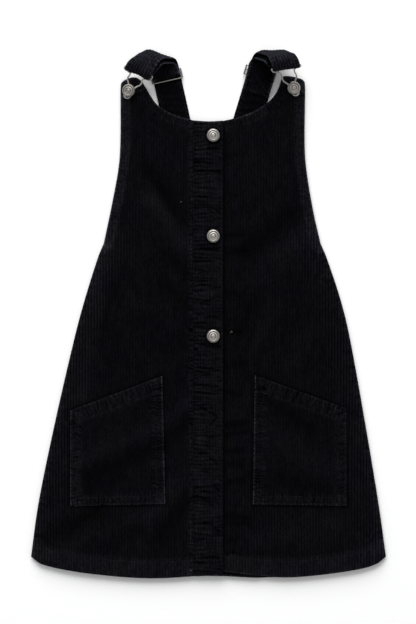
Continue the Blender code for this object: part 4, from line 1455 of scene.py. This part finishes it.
def makeButton(name, node, foot, shank, tilt, dull):
    # A tack button: a pressed cap with rings round it, on a turned shank
    form = tackButton
    inner = form["radius"] - form["round"]
    bpy.ops.mesh.primitive_cylinder_add(
        vertices=form["segments"], radius=inner * mm, depth=form["rim"] * mm,
        location=(0.0, 0.0, (0.5 * form["rim"] + form["hollow"]) * mm),
    )
    bpy.ops.object.transform_apply(location=True, rotation=True, scale=True)
    piece = bpy.context.object
    bpy.ops.object.mode_set(mode="EDIT")
    bpy.ops.mesh.select_mode(type="FACE")
    selectFaces(piece, lambda face: abs(face.normal.z) < 0.5)
    bpy.ops.mesh.extrude_region_shrink_fatten(TRANSFORM_OT_shrink_fatten={"value": form["round"] * mm})
    bpy.ops.mesh.select_all(action="SELECT")
    bpy.ops.mesh.remove_doubles(threshold=0.00001)
    selectFaces(piece, lambda face: face.normal.z > 0.5 and face.center.xy.length < 0.5 * mm)
    for inward, rise in form["rings"]:
        bpy.ops.mesh.inset(thickness=inward * mm, depth=0.0)
        bpy.ops.transform.translate(value=(0.0, 0.0, rise * mm))
    bpy.ops.mesh.poke()
    selectFaces(piece, lambda face: face.normal.z < -0.5 and face.center.xy.length < 0.5 * mm)
    bpy.ops.mesh.inset(thickness=form["turnedIn"] * mm, depth=0.0)
    bpy.ops.transform.translate(value=(0.0, 0.0, -form["hollow"] * mm))
    bpy.ops.mesh.inset(thickness=(inner - form["turnedIn"] - form["shank"]) * mm)
    lean = math.radians(tilt)
    short = shank - form["shank"] * abs(math.tan(lean))
    bpy.ops.mesh.extrude_region_move(TRANSFORM_OT_translate={"value": (0.0, 0.0, -short * mm)})
    bpy.ops.mesh.poke()
    bpy.ops.mesh.select_all(action="SELECT")
    bpy.ops.mesh.normals_make_consistent(inside=False)
    bpy.ops.object.mode_set(mode="OBJECT")
    radius = np.array([v.co.xy.length for v in piece.data.vertices]) / mm
    top = np.array([v.co.z for v in piece.data.vertices]) / mm > form["hollow"] + form["rim"]
    groove = np.where(top, dull, max(dull, form["dullBelow"]))
    for middle, width, share in form["rubbed"]:
        groove = np.maximum(groove, share * bell(radius - middle, width) * top)
    piece.matrix_world = (
        Matrix.Translation(Vector(foot) * mm) @ Matrix.Rotation(lean, 4, "Y")
        @ Matrix.Translation((0.0, 0.0, shank * mm))
    )
    settle(piece, name, node, groove)


def heightOn(cut, x, y):
    # height of a piece's top at a place
    surface = surfaceOf(cut, np.array([x]), np.array([y]))
    return float(surface["middle"][0]) + cut["wall"] / 2


def bibFoot(side):
    button = bibButtons[side]
    x = button["x"] - button["shank"] * math.sin(math.radians(button["tilt"]))
    host = rightFront if side == "right" else leftFront
    return (x, button["y"], heightOn(host, x, button["y"]) + cloth["gap"])


for node, y in frontButtons.items():
    name = node.replace("button", "tack_button")
    foot = (frontButton["x"], y, placketMiddle + placket["wall"] / 2 + cloth["gap"])
    makeButton(name, node, foot, frontButton["shank"], 0.0, tackButton["dull"])
for side, button in bibButtons.items():
    values = (button[name] for name in ("shank", "tilt", "dull"))
    makeButton("tack_button_bib_" + side, "bib_button_" + side, bibFoot(side), *values)
print("buttons made")

buckle = {
    "wire": 1.05,
    "bar": 17.6,  # half of the top bar
    "length": 32.0,  # from the button's shank to the bar
    "liftStart": 8.2,  # the wire lies along the bib up to here, and rises to the bar from it
    "neck": (25.5, 4.0),  # how far ahead its neck is, and half of the stretch that is bent with it
    "step": 1.2,
    # half of the wire: how far ahead of the shank, and half the width there
    "line": (
        (32.0, 17.0), (31.0, 17.9), (29.3, 18.2), (27.2, 17.8), (25.8, 16.3), (25.3, 12.8),
        (24.0, 9.4), (20.8, 8.4), (16.5, 9.2), (12.6, 8.6), (8.8, 6.0), (5.6, 4.3), (0.0, 3.9),
        (-5.4, 3.9), (-8.6, 2.9), (-9.8, 0.0),
    ),
}


def makeBuckle(side):
    # A dungaree buckle: one steel wire, bent to a wide bar for the strap and a narrow loop for the button
    strap = straps[side]
    ends = strapPlaces(
        side, np.full(2, strap["bar"]), np.array([-buckle["bar"], buckle["bar"]]),
        np.full(2, ribbon["foldRadius"]), slack=False,
    )
    left, right = (Vector(end) for end in ends)
    bar = (right - left).normalized()
    middle = (left + right) / 2 + bar * strap["slip"]
    shank = Vector(bibFoot(side)) + Vector((0.0, 0.0, buckle["wire"]))
    ahead = ((middle - shank) * Vector((1.0, 1.0, 0.0))).normalized()
    level = Vector((ahead.y, -ahead.x, 0.0))
    if level.dot(right - left) < 0:
        level = -level
    foot = shank + ahead * buckle["liftStart"]

    def onWire(v, w):
        rise = max(0.0, v - buckle["liftStart"]) / (buckle["length"] - buckle["liftStart"])
        spine = shank + ahead * v if rise == 0.0 else foot.lerp(middle, rise)
        return spine + level.lerp(bar, rise) * w

    # its neck is bent nearer to the bar, or further from it
    place, reach = buckle["neck"]
    line = [(v + strap["neck"] * math.exp(-(((v - place) / reach) ** 2)), w) for v, w in buckle["line"]]
    corners = [onWire(v, -w) for v, w in line]
    corners += [onWire(v, w) for v, w in reversed(line[:-1])]
    count = len(corners)
    points = []
    for i in range(count):
        before, start, end, after = (corners[(i + k) % count] for k in (-1, 0, 1, 2))
        steps = max(1, round((end - start).length / buckle["step"]))
        for t in (k / steps for k in range(steps)):
            straight = i == count - 1  # as the bar is
            points.append(start.lerp(end, t) if straight else smoothPoint(before, start, end, after, t))
    curve = bpy.data.curves.new("wire", "CURVE")
    curve.dimensions = "3D"
    curve.bevel_depth = buckle["wire"] * mm
    curve.bevel_resolution = 4
    spline = curve.splines.new("POLY")
    spline.points.add(len(points) - 1)
    for spot, place in zip(spline.points, points):
        spot.co = (*(place * mm), 1.0)
    spline.use_cyclic_u = True
    piece = bpy.data.objects.new("wire", curve)
    bpy.context.scene.collection.objects.link(piece)
    bpy.context.view_layer.objects.active = piece
    piece.select_set(True)
    bpy.ops.object.convert(target="MESH")
    settle(bpy.context.object, "buckle_wire_" + side, "buckle_" + side)


slide = {
    "halfWidth": 19.9,
    "halfHeight": 6.5,
    "side": 2.0,  # width of its two sides
    "bar": 1.3,  # and of its three bars
    "wall": 1.8,
    "round": 0.45,
    "corner": 2.4,
    "dull": (0.3, 0.8),  # how dull its bars and its sides are
}


def makeSlider(side):
    # A three-bar slide, die cast: a plate with two windows and rounded bars
    strap = straps[side]
    bpy.ops.mesh.primitive_plane_add(size=1.0)
    piece = bpy.context.object
    piece.scale = (2 * slide["halfWidth"] * mm, 2 * slide["halfHeight"] * mm, 1.0)
    bpy.ops.object.transform_apply(location=True, rotation=True, scale=True)
    windowX = slide["halfWidth"] - slide["side"]
    low, high = slide["bar"] / 2, slide["halfHeight"] - slide["bar"]
    bpy.ops.object.mode_set(mode="EDIT")
    for cuts, normal in (((-windowX, windowX), (1.0, 0.0, 0.0)), ((-high, -low, low, high), (0.0, 1.0, 0.0))):
        for cut in cuts:
            bpy.ops.mesh.select_all(action="SELECT")
            bpy.ops.mesh.bisect(plane_co=Vector(normal) * (cut * mm), plane_no=normal)
    bpy.ops.mesh.select_mode(type="FACE")
    selectFaces(piece, lambda face: abs(face.center.x) < windowX * mm
                and low * mm < abs(face.center.y) < high * mm)
    bpy.ops.mesh.delete(type="FACE")
    bpy.ops.mesh.select_mode(type="VERT")
    bpy.ops.mesh.select_all(action="DESELECT")
    bpy.ops.object.mode_set(mode="OBJECT")
    for vertex in piece.data.vertices:
        outerX = abs(vertex.co.x) > 0.99 * slide["halfWidth"] * mm
        vertex.select = outerX and abs(vertex.co.y) > 0.99 * slide["halfHeight"] * mm
    bpy.ops.object.mode_set(mode="EDIT")
    bpy.ops.mesh.bevel(offset=slide["corner"] * mm, segments=4, affect="VERTICES")
    bpy.ops.mesh.select_all(action="SELECT")
    bpy.ops.mesh.extrude_region_move(TRANSFORM_OT_translate={"value": (0.0, 0.0, slide["wall"] * mm)})
    bpy.ops.mesh.select_all(action="SELECT")
    bpy.ops.mesh.normals_make_consistent(inside=False)
    bpy.ops.object.mode_set(mode="OBJECT")
    bevel = piece.modifiers.new("rounded bars", "BEVEL")
    bevel.width = slide["round"] * mm
    bevel.segments = 3
    bpy.ops.object.modifier_apply(modifier=bevel.name)
    lean = math.radians(strap["lean"]) * (1 if side == "right" else -1)
    centre = Matrix.Rotation(lean, 3, "Z") @ Vector((-strap["aside"], strap["slider"], 0.0))
    centre += Vector((strap["x"], strap["y"], ribbon["wall"] + cloth["gap"]))
    piece.matrix_world = Matrix.Translation(centre * mm) @ Matrix.Rotation(lean, 4, "Z")
    groove = [slide["dull"][abs(v.co.x) > windowX * mm] for v in piece.data.vertices]
    settle(piece, "slide_" + side, "slider_" + side, groove)


for side in straps:
    makeBuckle(side)
    makeSlider(side)
print("buckles and slides made")


# Lint

lintLook = {
    "thick": 0.2,
    "above": 0.25,  # how far it stands above the pile
    "arch": 0.5,
    "bend": 0.3,
    "sides": 5,
    "rows": 7,
    # where the pile has caught some: x, y, length and direction in degrees
    "fibres": (
        (28.4, -23.3, 2.6, 20.0), (29.6, -22.6, 1.6, 110.0), (27.2, -23.6, 1.8, -30.0),
        (-34.4, 139.4, 2.4, 60.0), (-22.1, -320.6, 2.0, 10.0), (-82.0, -203.0, 1.6, 40.0),
    ),
}


def makeLint():
    # short bent fibres, each a thin tube
    sides, rows = lintLook["sides"], lintLook["rows"]
    points, faces = [], []
    for number, (x, y, length, turn) in enumerate(lintLook["fibres"]):
        host = leftFront if x > 0 else rightFront
        ahead = np.array([math.cos(math.radians(turn)), math.sin(math.radians(turn)), 0.0])
        aside = np.array([-ahead[1], ahead[0], 0.0])
        top = heightOn(host, x, y) + lintLook["above"]
        faces += [tuple(len(points) + i for i in face) for face in tubeFaces(rows, sides)]
        for i in range(rows):
            t = i / (rows - 1) - 0.5
            middle = np.array([x, y, top + lintLook["arch"] * (0.25 - t * t)]) + ahead * t * length
            middle = middle + aside * math.sin(3 * t + number) * lintLook["bend"] * length
            for j in range(sides):
                angle = 2 * math.pi * j / sides
                out = aside * math.cos(angle) + np.array([0.0, 0.0, math.sin(angle)])
                points.append(middle + lintLook["thick"] * out)
    piece = newPiece("lint", points, [face[::-1] for face in faces], lint)
    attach(piece, "root")


makeLint()


# Floor, light and camera

studio = {
    "floor": 14.0,
    "floorHeight": -0.0004,  # just under the cloth
    "camera": (-0.000625, 0.001875, 3.006),
    "pictureHeight": 0.78,  # what the picture takes in, in metres, at 3 metres
    "pictureDistance": 3.0,
    "sensor": 36.0,
    "sky": ("#b9bbbf", "#ffffff"),  # low down and overhead
    "skyRange": (-0.1, 0.9),
    "skyStrength": 0.56,
    "keyPlace": (-0.9, 6.6, 4.4),
    "keySize": 6.6,
    "keyPower": 890.0,
}


def makeStudio():
    bpy.ops.mesh.primitive_plane_add(size=studio["floor"], location=(0.0, 0.0, studio["floorHeight"]))
    floor = bpy.context.object
    bpy.ops.object.transform_apply(location=True, rotation=True, scale=True)
    floor.name = "floor_paper"
    # Background paper, matt white: an even pale floor.
    floor.data.materials.append(makeSpeckled(
        "background paper, matt", {"Roughness": 0.95, "Specular IOR Level": 0.2},
        (3.0, 0.2, 0.8), ("#f6f6f6", "#f8f8f8"),
    ))
    scene = bpy.context.scene
    world = bpy.data.worlds.new("studio")
    world.use_nodes = True
    tree = world.node_tree
    background = tree.nodes["Background"]
    background.inputs["Strength"].default_value = studio["skyStrength"]
    place = addNode(tree, "ShaderNodeTexCoord").outputs["Generated"]
    split = addNode(tree, "ShaderNodeSeparateXYZ", links={"Vector": place})
    low, high = studio["skyRange"]
    height = addNode(
        tree, "ShaderNodeMapRange", values={"From Min": low, "From Max": high},
        links={"Value": split.outputs["Z"]},
    )
    sky = mixColour(tree, height.outputs[0], *studio["sky"])
    tree.links.new(sky, background.inputs["Color"])
    scene.world = world
    light = bpy.data.lights.new("softbox", "AREA")
    light.energy = studio["keyPower"]
    light.size = studio["keySize"]
    lamp = bpy.data.objects.new("softbox", light)
    lamp.location = studio["keyPlace"]
    lamp.rotation_euler = (-Vector(studio["keyPlace"])).to_track_quat("-Z", "Y").to_euler()
    scene.collection.objects.link(lamp)
    lens = bpy.data.cameras.new("camera")
    lens.sensor_fit = "VERTICAL"
    lens.sensor_height = studio["sensor"]
    lens.lens = studio["sensor"] * studio["pictureDistance"] / studio["pictureHeight"]
    lens.clip_end = 50.0
    camera = bpy.data.objects.new("camera", lens)
    camera.location = studio["camera"]
    scene.collection.objects.link(camera)
    scene.camera = camera
    scene.view_settings.view_transform = "Standard"


makeStudio()
print("studio made")
